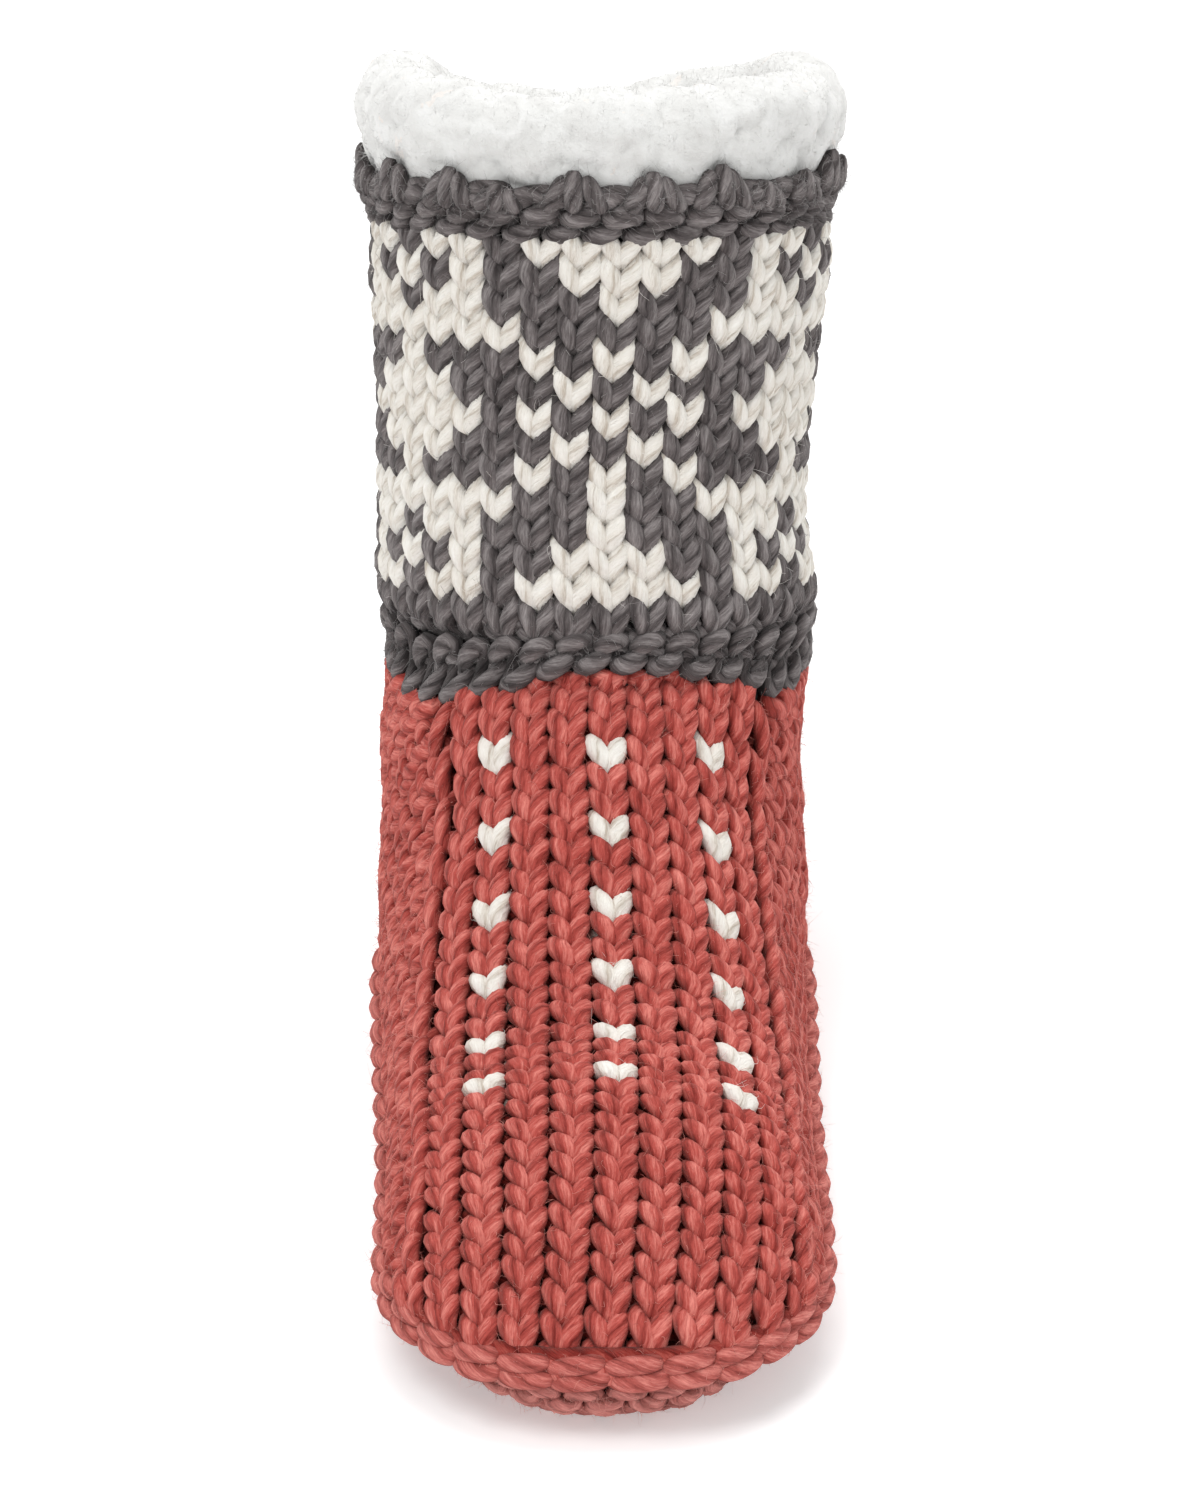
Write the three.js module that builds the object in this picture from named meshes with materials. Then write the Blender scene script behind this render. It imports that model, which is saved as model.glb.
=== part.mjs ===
// Knitted slipper sock with a sherpa lining. Millimetres, +Z up, toe toward -Y, X across.
// The outer skin is a row of half rings that fan from the leg, round the heel, to the toe.
// A place on it is (f, arc): f runs down the front from the ankle edge (negative = up the
// leg), arc runs round the ring from the front centre line. Every fabric piece is a thick
// patch of that skin between two depths.
import * as THREE from "three";

// ---------- driving dimensions ----------
const LEAN = 15;            // the leg leans back, degrees
const FRONT_Y = 13.5;       // front of the ankle edge
const FRONT_Z = 98;
const ANKLE_R = 51.5;
const LEG_H = 114;          // knit height above the ankle edge
const COLLAR_TOP = 141;     // top of the fleece collar at its sides, measured the same way
const DIP_FRONT = 6;        // how much lower the collar is at the front centre
const DIP_BACK = 16;        // and at the back
const BAND_H = 16;          // garter band at the ankle
const TOP_BAND = 13;        // garter roll at the top
const KNIT = 6;             // thickness of the knit layer
const LINING_IN = 7;        // depth where the fleece starts
const LINING_OUT = 13;      // depth where it ends
const GAP = 0.4;
const CENTRE_Y = 4.3;       // moves the whole sock so that its outline is centred on the origin
const TOE_Y = -154.5;
const TOE_DEPTH = 36;       // how far back the toe outline is rounded
const PANEL_ARC = 38;       // half width of the instep panel
const PICKUP = 4.4;         // width of the picked-up stitch line
const SEAM_R = 3.4;         // sole seam cord
const SEAM_IN = 1.7;         // how far its centre lies inside the seam line
const SEAM_DOWN = 0.9;      // and below it
const SEAM_ROOM = 4.2;      // between the seam line and each panel beside it
const INSOLE_Z = [5.9, 12.6];

// leg radius against height above the ankle edge
const LEG_R = [[0, 51.5], [16, 50.8], [45, 50.0], [75, 51.0], [100, 53.0], [122, 54.5], [150, 54.5]];
// foot rings: f, front y, front z, tilt, front half, back half, half width, roundness above, below
const RINGS = [
  [0, 13.5, 98.0, 15, 51.5, 51.5, 51.5, 2.0, 2.0],
  [10, 5.2, 92.4, 23, 60.0, 60.0, 51.2, 2.0, 2.0],
  [20, -3.0, 86.9, 31, 76.0, 63.0, 50.8, 2.1, 2.0],
  [30, -11.4, 81.4, 38, 86.0, 46.0, 50.2, 2.2, 2.2],
  [40, -19.8, 75.9, 44, 84.0, 25.0, 49.6, 2.3, 2.4],
  [58, -34.8, 65.8, 52, 65.7, 18.0, 48.6, 2.3, 2.4],
  [77, -52.0, 57.3, 63, 49.0, 16.0, 47.6, 2.3, 2.4],
  [97, -71.2, 54.0, 77, 41.0, 15.0, 47.2, 2.3, 2.4],
  [116, -90.4, 53.6, 82, 39.0, 15.0, 47.2, 2.3, 2.4],
  [135.5, -109.0, 48.1, 76, 33.0, 15.0, 47.2, 2.2, 2.4],
  [155, -126.1, 39.0, 68, 24.2, 14.0, 47.2, 2.1, 2.4],
  [168, -137.1, 32.2, 64, 17.0, 12.0, 47.2, 2.1, 2.4],
  [180, -146.5, 24.5, 62, 8.4, 10.0, 47.2, 2.0, 2.4],
  [188, -152.5, 18.8, 62, 2.2, 9.0, 47.2, 2.0, 2.4],
  [191, -154.4, 17.0, 62, 0.2, 9.0, 47.2, 2.0, 2.4],
];
const TOE_F = 190.5;
// height of the sole seam against y
const SEAM_Z = [[-160, 17], [-110, 16], [-85, 15], [-60, 14], [-30, 13.5], [20, 13], [140, 13]];
// half width of the instep panel against f
const PANEL = [[0, PANEL_ARC], [80, PANEL_ARC], [137, 39.6], [160, 43]];
const PANEL_END = 160;      // the side panels stop between here
const SIDE_END = 168;       // and here, at the sole seam
const HEEL_HALF = 56;       // half width of the heel panel at the top

const rad = (d) => (d * Math.PI) / 180;
const lerp = (a, b, t) => a + (b - a) * t;
const clamp = (x, a, b) => Math.min(b, Math.max(a, x));
const range = (a, b, n) => Array.from({ length: n + 1 }, (_, i) => lerp(a, b, i / n));

/** Cubic through rows [x, y...] at x; every column after the first. */
function curve(rows, x) {
  const n = rows.length;
  const at = clamp(x, rows[0][0], rows[n - 1][0]);
  let i = 0;
  while (i < n - 2 && rows[i + 1][0] <= at) i++;
  const slope = (j, k) => (rows[j + 1][k] - rows[j][k]) / (rows[j + 1][0] - rows[j][0]);
  const tangent = (j, k) => {
    if (j === 0) return slope(0, k);
    if (j === n - 1) return slope(n - 2, k);
    const a = rows[j][0] - rows[j - 1][0], b = rows[j + 1][0] - rows[j][0];
    return (slope(j - 1, k) * b + slope(j, k) * a) / (a + b);
  };
  const h = rows[i + 1][0] - rows[i][0], t = (at - rows[i][0]) / h;
  return rows[i].slice(1).map((_, c) => {
    const k = c + 1;
    return (2 * t ** 3 - 3 * t * t + 1) * rows[i][k] + (t ** 3 - 2 * t * t + t) * h * tangent(i, k)
      + (3 * t * t - 2 * t ** 3) * rows[i + 1][k] + (t ** 3 - t * t) * h * tangent(i + 1, k);
  });
}

/** One ring: its front point, its direction and its half sizes. */
function ring(f) {
  if (f < 0) {
    const h = -f, r = curve(LEG_R, h)[0], a = rad(LEAN);
    const cy = FRONT_Y + ANKLE_R * Math.cos(a) + h * Math.sin(a);
    const cz = FRONT_Z - ANKLE_R * Math.sin(a) + h * Math.cos(a);
    return [cy - r * Math.cos(a), cz + r * Math.sin(a), Math.cos(a), -Math.sin(a), r, r, r, 2, 2];
  }
  const [fy, fz, tilt, lt, lb, w, nt, nb] = curve(RINGS, f);
  const c = Math.cos(rad(tilt)), s = -Math.sin(rad(tilt));
  const q = clamp((TOE_DEPTH - (fy + lt * c - TOE_Y)) / TOE_DEPTH, 0, 1);
  return [fy, fz, c, s, lt, lb, w * Math.sqrt(1 - q ** 2.3), nt, nb];
}

const STEPS = 240;
const known = new Map();
/** The half ring at f as points with their running length. */
function halfRing(f) {
  const key = f.toFixed(4);
  if (known.has(key)) return known.get(key);
  const [fy, fz, c, s, lt, lb, w, nt, nb] = ring(f);
  const line = [];
  let run = 0;
  for (let i = 0; i <= STEPS; i++) {
    const a = (i / STEPS) * Math.PI, ca = Math.cos(a), sa = Math.sin(a);
    const n = ca >= 0 ? nt : nb;
    const up = Math.sign(ca) * Math.abs(ca) ** (2 / n);
    const along = ca >= 0 ? lt * (1 - up) : lt - lb * up;
    const p = [w * Math.abs(sa) ** (2 / n), fy + along * c, fz + along * s];
    if (i) run += Math.hypot(...p.map((v, k) => v - line[i - 1].p[k]));
    line.push({ p, run });
  }
  known.set(key, line);
  return line;
}
const ringLength = (f) => halfRing(f)[STEPS].run;

/** Point of the outer skin. arc is signed: positive on +X. */
function skin(f, arc) {
  const line = halfRing(f), total = line[STEPS].run;
  let q = Math.abs(arc), side = arc < 0 ? -1 : 1;
  if (q > total) { q = 2 * total - q; side = -side; }
  let lo = 0, hi = STEPS;
  while (hi - lo > 1) {
    const mid = (lo + hi) >> 1;
    if (line[mid].run <= q) lo = mid; else hi = mid;
  }
  const t = (q - line[lo].run) / Math.max(1e-9, line[hi].run - line[lo].run);
  const p = line[lo].p.map((v, k) => lerp(v, line[hi].p[k], t));
  return new THREE.Vector3(side * p[0], p[1], p[2]);
}

/** Point at a depth under the skin, along its normal. */
function under(f, arc, depth) {
  const d = 0.6;
  const share = (g) => (arc / ringLength(f)) * ringLength(g);
  const along = skin(f + d, share(f + d)).sub(skin(f - d, share(f - d)));
  const round = skin(f, arc + d).sub(skin(f, arc - d));
  const normal = round.cross(along).normalize();   // points out of the sock or into it
  const [fy, fz, c, s, lt] = ring(f);
  const core = new THREE.Vector3(0, fy + lt * c, fz + lt * s);
  const p = skin(f, arc);
  if (normal.dot(core.clone().sub(p)) < 0) normal.negate();
  return p.addScaledVector(normal, depth);
}

// ---------- the sole seam line ----------
const seamHeight = (y) => curve(SEAM_Z, y)[0];
function heelF() {
  let lo = 5, hi = 40;
  for (let i = 0; i < 40; i++) {
    const f = (lo + hi) / 2, p = skin(f, ringLength(f));
    if (p.z > seamHeight(p.y)) lo = f; else hi = f;
  }
  return (lo + hi) / 2;
}
const HEEL_F = heelF();
/** Where the ring at f meets the sole seam, as an arc. */
function seamArc(f, lift = 0) {
  const line = halfRing(f);
  for (let i = 1; i <= STEPS; i++) {
    const a = line[i - 1].p, b = line[i].p;
    const za = a[2] - seamHeight(a[1]) - lift, zb = b[2] - seamHeight(b[1]) - lift;
    if (za > 0 && zb <= 0) return lerp(line[i - 1].run, line[i].run, za / (za - zb));
  }
  return line[0].p[2] - seamHeight(line[0].p[1]) - lift <= 0 ? 0 : line[STEPS].run;
}
/** A path of (f, arc) places resampled evenly by its length on the skin. */
function evenly(path, n) {
  const points = path.map(([f, arc]) => skin(f, arc));
  const run = [0];
  for (let i = 1; i < points.length; i++) run.push(run[i - 1] + points[i].distanceTo(points[i - 1]));
  return range(0, run[run.length - 1], n).map((s) => {
    let i = 1;
    while (i < run.length - 1 && run[i] < s) i++;
    const t = (s - run[i - 1]) / Math.max(1e-9, run[i] - run[i - 1]);
    return path[i].map((v, k) => lerp(path[i - 1][k], v, t));
  });
}
const closeTo = (f0, f1, n) => range(0, 1, n).map((t) => lerp(f0, f1, t * t));
const seamPath = [
  ...range(TOE_F, SIDE_END, 30).map((f) => [f, seamArc(f)]),
  ...range(SIDE_END, 60, 40).slice(1).map((f) => [f, seamArc(f)]),
  ...closeTo(HEEL_F, 60, 60).reverse().slice(1).map((f) => [f, seamArc(f)]),
];
seamPath[0] = [TOE_F, 0];

// ---------- edges between pieces ----------
/** How far the ankle edge drops below the front ring, by angle round the ankle. */
const DROP = [[0, 0], [0.35, 2.0], [0.7, 6.2], [0.93, 8.4], [1.2, 7.0], [1.7, 4.0], [2.4, 1.5], [Math.PI, 0.8]];
const drop = (arc) => curve(DROP, Math.abs(arc) / ANKLE_R)[0];
const panelArc = (f) => {
  const seam = seamArc(f) - SEAM_ROOM - clamp((f - PANEL_END) / 12, 0, 1) * 3.8;
  if (f <= PANEL_END) return Math.min(curve(PANEL, f)[0], seam);
  if (f >= SIDE_END) return seam;
  const t = (f - PANEL_END) / (SIDE_END - PANEL_END);
  return Math.min(seam, lerp(curve(PANEL, PANEL_END)[0], seamArc(SIDE_END) - SEAM_ROOM, t));
};

// ---------- solids ----------
/** A closed thick patch from a grid of (f, arc) places. wrap joins the last column to the first. */
function patch(grid, d0, d1, wrap = false, shape = null) {
  const rows = grid.length, cols = grid[0].length, points = [], faces = [];
  const place = shape ?? ((f, arc, depth) => under(f, arc, depth));
  for (const d of [d0, d1]) for (const row of grid) for (const [f, arc] of row) points.push(place(f, arc, d));
  const id = (layer, r, c) => layer * rows * cols + r * cols + (wrap ? c % cols : c);
  const quad = (a, b, c, d) => faces.push([a, b, c], [a, c, d]);
  const last = wrap ? cols : cols - 1;
  for (let r = 0; r < rows - 1; r++) {
    for (let c = 0; c < last; c++) {
      quad(id(0, r, c), id(0, r, c + 1), id(0, r + 1, c + 1), id(0, r + 1, c));
      quad(id(1, r, c), id(1, r + 1, c), id(1, r + 1, c + 1), id(1, r, c + 1));
    }
  }
  for (let c = 0; c < last; c++) {
    quad(id(0, 0, c), id(1, 0, c), id(1, 0, c + 1), id(0, 0, c + 1));
    quad(id(0, rows - 1, c), id(0, rows - 1, c + 1), id(1, rows - 1, c + 1), id(1, rows - 1, c));
  }
  if (!wrap) {
    for (let r = 0; r < rows - 1; r++) {
      quad(id(0, r, 0), id(0, r + 1, 0), id(1, r + 1, 0), id(1, r, 0));
      quad(id(0, r, cols - 1), id(1, r, cols - 1), id(1, r + 1, cols - 1), id(0, r + 1, cols - 1));
    }
  }
  return { points, faces };
}

/** A closed tube of cross-section loops; closed lengthwise too. */
function torus(loops) {
  const n = loops.length, m = loops[0].length, faces = [];
  for (let i = 0; i < n; i++) {
    for (let j = 0; j < m; j++) {
      const a = i * m + j, b = i * m + ((j + 1) % m);
      const c = ((i + 1) % n) * m + ((j + 1) % m), d = ((i + 1) % n) * m + j;
      faces.push([a, b, c], [a, c, d]);
    }
  }
  return { points: loops.flat(), faces };
}

/** A dish or pad from stacked closed loops, with flat ends triangulated in plan. */
function stack(loops) {
  const m = loops[0].length, faces = [];
  for (let k = 0; k < loops.length - 1; k++) {
    for (let j = 0; j < m; j++) {
      const a = k * m + j, b = k * m + ((j + 1) % m);
      faces.push([a, b, b + m], [a, b + m, a + m]);
    }
  }
  const flat = (loop) => THREE.ShapeUtils.triangulateShape(loop.map((p) => new THREE.Vector2(p.x, p.y)), []);
  const top = (loops.length - 1) * m;
  for (const [a, b, c] of flat(loops[0])) faces.push([c, b, a]);
  for (const [a, b, c] of flat(loops[loops.length - 1])) faces.push([a + top, b + top, c + top]);
  return { points: loops.flat(), faces };
}

const group = new THREE.Group();
group.name = "slipper_sock";
function add(name, solid, color, roughness) {
  let volume = 0;
  for (const [a, b, c] of solid.faces) {
    const [p, q, r] = [a, b, c].map((i) => solid.points[i]);
    volume += p.dot(q.clone().cross(r)) / 6;
  }
  const faces = volume < 0 ? solid.faces.map(([a, b, c]) => [a, c, b]) : solid.faces;
  const geometry = new THREE.BufferGeometry();
  geometry.setAttribute("position", new THREE.Float32BufferAttribute(solid.points.flatMap((p) => [p.x, p.y, p.z]), 3));
  geometry.setIndex(faces.flat());
  geometry.computeVertexNormals();
  const mesh = new THREE.Mesh(geometry, new THREE.MeshStandardMaterial({ color, roughness, metalness: 0 }));
  mesh.name = name;
  mesh.position.y = CENTRE_Y;
  group.add(mesh);
}
const CORAL = 0xc25248, GREY = 0x6b6665, FLEECE = 0xf3f1ee;

// ---------- leg ----------
const around = 36;
const turn = (f, i) => ((i + 0.5) / around) * 2 * ringLength(f);
const tube = (fs) => fs.map((f) => Array.from({ length: around }, (_, i) => [f, turn(f, i)]));
add("cuff_knit", patch(tube(range(-(LEG_H - TOP_BAND - GAP), -(BAND_H + GAP), 4)), 0, KNIT, true), GREY, 0.95);
add("leg_lining", patch(tube(range(-(LEG_H - 8), -(BAND_H + GAP), 4)), LINING_IN, LINING_OUT, true), FLEECE, 1);

/** Loops of a ring-shaped roll round the leg: section points are (height, depth). */
function roll(section, fall = () => 0) {
  return torus(Array.from({ length: around }, (_, i) => section.map(([h, depth]) => {
    const g = h - clamp((h - LEG_H) / (COLLAR_TOP - LEG_H), 0, 1) * fall(((i + 0.5) / around) * 2 * Math.PI);
    return under(-g, turn(-g, i), depth);
  })));
}
const collarDip = (a) => (Math.cos(a) > 0 ? DIP_FRONT : DIP_BACK) * Math.abs(Math.cos(a)) ** 1.6;
const bandLow = LEG_H - TOP_BAND + GAP;
add("cuff_top_edge", roll([[bandLow, 0.5], [bandLow + 3.5, -2.8], [bandLow + 8, -3.4], [LEG_H - 1.5, -1.6],
  [LEG_H, 2], [LEG_H - 1, KNIT], [bandLow, KNIT]]), GREY, 0.95);
add("collar_sherpa", roll([[LEG_H + 1.2, 2.5], [LEG_H + 10, -1.5], [COLLAR_TOP - 4, 1], [COLLAR_TOP, 7],
  [COLLAR_TOP - 3, 14], [LEG_H + 6, 17.5], [LEG_H - 6, 15], [LEG_H - 7, LINING_IN], [LEG_H + 0.6, LINING_IN - 0.3]],
  collarDip), FLEECE, 1);

// ---------- ankle: the part of the fabric that bends ----------
const steps = range(0, 1, 3);
const band = (top, low) => steps.map((t) => Array.from({ length: around }, (_, i) => {
  const share = ((i + 0.5) / around) * 2;
  const arc0 = share > 1 ? share - 2 : share;
  const f = lerp(-top, drop(arc0 * ringLength(0)) - low, t);
  return [f, arc0 * ringLength(f)];
}));
add("ankle_edge", patch(band(BAND_H, GAP), -0.8, KNIT, true), GREY, 0.95);
add("ankle_lining", patch(band(BAND_H, 1.2), LINING_IN, LINING_OUT, true), FLEECE, 1);

// ---------- instep panel and the picked-up stitch lines ----------
const panelF = [...range(0, 40, 5), ...range(58, 154, 10).slice(0), PANEL_END, 164, SIDE_END, 173, 176.5, 179.5, 182];
const across = range(-1, 1, 12);
const panelGrid = panelF.map((f) => across.map((s) => {
  const start = drop(s * PANEL_ARC) + GAP;
  const reach = clamp((f - SIDE_END) / 14, 0, 1) * 3.4 * (1 - s ** 4);   // fuller at the toe's middle
  const g = f === 0 ? start : Math.max(f + reach, start + 2);
  return [g, s * panelArc(g)];
}));
const tidyRows = (grid) => grid.map((row, r) => row.map(([f, arc], c) => {
  if (r === 0 || r > 4) return [f, arc];
  const a = grid[0][c][0], b = grid[5][c][0], g = lerp(a, b, r / 5);
  return [g, (arc / panelArc(f)) * panelArc(g)];
}));
/** Under the skin, but thinner close to the seam round the toe, where the cord lies. */
const thinToe = (f, arc, depth) => {
  const away = Math.min(seamArc(f) - Math.abs(arc), TOE_F - f);
  const share = f > 125 ? clamp(0.05 + 0.05 * away, 0.2, 1) : 1;
  return under(f, arc, depth * share);
};
add("instep_panel", patch(tidyRows(panelGrid), 0, KNIT, false, thinToe), CORAL, 0.95);

const edgeF = range(drop(PANEL_ARC + 2) + GAP, PANEL_END - 3, 18);
for (const [name, side] of [["pickup_seam_left", -1], ["pickup_seam_right", 1]]) {
  const grid = edgeF.map((f) => [GAP, GAP + PICKUP / 2, GAP + PICKUP].map((w) => [f, side * (panelArc(f) + w)]));
  add(name, patch(grid, 0.8, KNIT), CORAL, 0.95);
}

// ---------- side and heel panels, one band round the foot ----------
const upperEdge = [
  ...range(PANEL_END - 2, drop(PANEL_ARC + 6) + GAP, 40).map((f) => [f, panelArc(f) + PICKUP + 2 * GAP]),
  ...range(PANEL_ARC + 7, ringLength(0), 30).map((arc) => {
    const f = drop(arc) + GAP;
    return [f, (arc / ringLength(0)) * ringLength(f)];
  }),
];
const lowerEdge = seamPath.filter(([f]) => f <= SIDE_END - 3).map(([f]) => {
  const arc = seamArc(f, SEAM_ROOM);
  return f < HEEL_F + 0.05 ? [HEEL_F - 1.6, ringLength(HEEL_F - 1.6)] : [f, arc];
});
const BAND_N = 30;
const upper = evenly(upperEdge, BAND_N), lower = evenly(lowerEdge, BAND_N);
const cutAt = BAND_N - Math.round((HEEL_HALF / 268) * BAND_N);
/** The place t of the way down the band at column i, mixing shares of the ring length. */
const down = (i, t) => {
  const a = upper[i], b = lower[i], f = lerp(a[0], b[0], t);
  const share = lerp(a[1] / ringLength(a[0]), b[1] / ringLength(b[0]), t);
  return [f, Math.min(share, 1) * ringLength(f)];
};
const bandRows = range(0, 1, 5);
const nudge = (i) => (i === cutAt ? 1 : 0);
for (const [name, side] of [["side_panel_left", -1], ["side_panel_right", 1]]) {
  const grid = bandRows.map((t) => range(0, cutAt, cutAt).map((i) => {
    const [f, arc] = down(i, t);
    return [f, side * (arc - nudge(i) * 2 * GAP)];
  }));
  add(name, patch(grid, 0, KNIT, false, thinToe), CORAL, 0.95);
}
const heelColumns = range(cutAt, BAND_N, BAND_N - cutAt);
const heelGrid = bandRows.map((t) => [
  ...heelColumns.slice(0, -1).map((i) => down(i, t).map((v, k) => (k ? -v : v))),
  ...heelColumns.slice().reverse().map((i) => down(i, t)),
]);
add("heel_panel", patch(heelGrid, 0, KNIT), CORAL, 0.95);

// ---------- sole seam, sole and insole ----------
const halfLoop = evenly(seamPath, 34).map(([f, arc]) => skin(f, arc));
halfLoop[0].x = 0;
halfLoop[halfLoop.length - 1].x = 0;
const loop = [
  ...halfLoop,
  ...halfLoop.slice(1, -1).reverse().map((p) => new THREE.Vector3(-p.x, p.y, p.z)),
];
const count = loop.length;
const outward = loop.map((_, i) => {
  const a = loop[(i + count - 2) % count], b = loop[(i + 2) % count];
  const t = b.clone().sub(a).setZ(0).normalize();
  const out = new THREE.Vector3(t.y, -t.x, 0);
  const p = loop[i];
  const middle = new THREE.Vector3(0, clamp(p.y, TOE_Y + 45, 75), 0);
  return out.dot(p.clone().sub(middle)) < 0 ? out.negate() : out;
});
const ringOf = (n, fn) => Array.from({ length: n }, (_, k) => fn((k / n) * 2 * Math.PI));
add("sole_seam", torus(loop.map((p, i) => ringOf(8, (a) => p.clone()
  .addScaledVector(outward[i], -SEAM_IN + SEAM_R * 1.1 * Math.cos(a))
  .add(new THREE.Vector3(0, 0, -SEAM_DOWN + SEAM_R * Math.sin(a)))))), CORAL, 0.95);

/** The seam loop moved inward by inset, at height z(p). */
const inLoop = (inset, z) => loop.map((p, i) => {
  const q = p.clone().addScaledVector(outward[i], -inset);
  return q.setZ(z(p));
});
const rim = (p) => p.z - SEAM_ROOM - SEAM_DOWN;
const corner = (p) => lerp(15, 22, clamp((-p.y - 60) / 90, 0, 1));
const bowl = (t, extra, floor) => loop.map((p, i) => {
  const a = (t * Math.PI) / 2, c = corner(p) - extra;
  return p.clone().addScaledVector(outward[i], 0.5 - extra - c * (1 - Math.cos(a)))
    .setZ(lerp(rim(p), floor, Math.sin(a)));
});
const cup = [0, 0.3, 0.55, 0.78, 1];
add("sole_knit", stack([
  ...cup.slice().reverse().map((t) => bowl(t, 0, 0)),
  ...cup.map((t) => bowl(t, KNIT - 0.5, 5)),
]), CORAL, 0.95);
const [low, high] = INSOLE_Z;
add("insole", stack([
  inLoop(20, () => low), inLoop(15.5, () => low + 1.8), inLoop(14.5, () => high - 2.2), inLoop(17, () => high),
]), FLEECE, 1);

// ---------- foot lining, a left and a right half ----------
const liningF = [3, 8, 13, 17, HEEL_F - 0.8, HEEL_F + 1, HEEL_F + 4, 28, 36, 46, 58, 70, 82, 94, 106, 118, 130,
  142, 153, 162, 169];
for (const [name, side] of [["foot_lining_left", -1], ["foot_lining_right", 1]]) {
  const grid = liningF.map((f) => {
    const end = f < HEEL_F ? ringLength(f) - 0.6 : Math.min(seamArc(f, 7), ringLength(f) - 0.6);
    return range(0, 1, 15).map((t) => {
      const arc = lerp(0.6, end, t);
      const g = f === 3 ? drop((arc / ringLength(3)) * ringLength(0)) + 1.2 : Math.max(f, drop(arc) + 1.2 + f * 0.3);
      return [g, side * arc * (ringLength(g) / ringLength(f))];
    });
  });
  add(name, patch(grid, LINING_IN, LINING_OUT), FLEECE, 1);
}

export default group;
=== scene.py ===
# Knitted slipper sock with a sherpa lining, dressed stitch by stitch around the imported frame.
# The skin of the sock is the one that the CAD uses: a place on it is (f, share), where f runs
# down the front from the ankle edge (negative = up the leg) and share is the signed share of
# the way round the half ring, 0 at the front centre line and 1 at the back.
# TWIST turns the knitting a few millimetres round that skin, and SWAY bends the finished meshes.
# Lengths are in millimetres here and turn into metres when a mesh is made.
import math

import bpy
import numpy as np
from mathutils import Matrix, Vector
from mathutils.kdtree import KDTree


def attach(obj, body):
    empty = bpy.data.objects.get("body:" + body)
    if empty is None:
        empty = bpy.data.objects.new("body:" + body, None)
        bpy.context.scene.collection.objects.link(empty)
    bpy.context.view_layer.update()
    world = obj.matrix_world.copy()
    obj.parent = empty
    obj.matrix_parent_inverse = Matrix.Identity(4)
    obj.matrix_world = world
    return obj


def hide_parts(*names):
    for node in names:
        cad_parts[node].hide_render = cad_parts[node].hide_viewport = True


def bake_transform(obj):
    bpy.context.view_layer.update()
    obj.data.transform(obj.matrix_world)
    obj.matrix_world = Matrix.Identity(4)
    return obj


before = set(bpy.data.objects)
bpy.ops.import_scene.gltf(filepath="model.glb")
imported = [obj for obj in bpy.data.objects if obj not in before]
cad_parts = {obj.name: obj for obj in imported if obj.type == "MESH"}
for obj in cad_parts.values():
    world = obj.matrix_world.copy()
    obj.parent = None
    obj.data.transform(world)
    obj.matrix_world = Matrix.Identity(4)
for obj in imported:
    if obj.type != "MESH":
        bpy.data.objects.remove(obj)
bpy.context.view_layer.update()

# ---------- driving dimensions, as in the CAD ----------
LEAN = math.radians(15)
FRONT_Y, FRONT_Z, ANKLE_R = 13.5, 98.0, 51.5
LEG_H, COLLAR_TOP, BAND_H = 114.0, 141.0, 16.0
CENTRE_Y = 4.3
DIP_FRONT, DIP_BACK = 6.0, 16.0      # how much lower the collar is in front and behind
TOE_Y, TOE_DEPTH, TOE_F = -154.5, 36.0, 190.5
PANEL_ARC, PANEL_END, SIDE_END, PICKUP = 41.0, 160.0, 168.0, 4.4
HEEL_HALF = 56.0
LEG_R = np.array([[0, 51.5], [16, 50.8], [45, 50.0], [75, 51.0], [100, 53.0], [122, 54.5], [150, 54.5]])
RINGS = np.array([
    # f, front y, front z, tilt, front half, back half, half width, roundness above, below
    [0, 13.5, 98.0, 15, 51.5, 51.5, 51.5, 2.0, 2.0],
    [10, 5.2, 92.4, 23, 60.0, 60.0, 51.2, 2.0, 2.0],
    [20, -3.0, 86.9, 31, 76.0, 63.0, 50.8, 2.1, 2.0],
    [30, -11.4, 81.4, 38, 86.0, 46.0, 50.2, 2.2, 2.2],
    [40, -19.8, 75.9, 44, 84.0, 25.0, 49.6, 2.3, 2.4],
    [58, -34.8, 65.8, 52, 65.7, 18.0, 48.6, 2.3, 2.4],
    [77, -52.0, 57.3, 63, 49.0, 16.0, 47.6, 2.3, 2.4],
    [97, -71.2, 54.0, 77, 41.0, 15.0, 47.2, 2.3, 2.4],
    [116, -90.4, 53.6, 82, 39.0, 15.0, 47.2, 2.3, 2.4],
    [135.5, -109.0, 48.1, 76, 33.0, 15.0, 47.2, 2.2, 2.4],
    [155, -126.1, 39.0, 68, 24.2, 14.0, 47.2, 2.1, 2.4],
    [168, -137.1, 32.2, 64, 17.0, 12.0, 47.2, 2.1, 2.4],
    [180, -146.5, 24.5, 62, 8.4, 10.0, 47.2, 2.0, 2.4],
    [188, -152.5, 18.8, 62, 2.2, 9.0, 47.2, 2.0, 2.4],
    [191, -154.4, 17.0, 62, 0.2, 9.0, 47.2, 2.0, 2.4],
])
SEAM_Z = np.array([[-160, 17], [-110, 16], [-85, 15], [-60, 14], [-30, 13.5], [20, 13], [140, 13]], float)
PANEL = np.array([[0, 41], [80, 41], [137, 42], [160, 44]], float)
DROP = np.array([[0, 0], [0.35, 2.0], [0.7, 6.2], [0.93, 8.4], [1.2, 7.0], [1.7, 4.0], [2.4, 1.5],
                 [math.pi, 0.8]])

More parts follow.
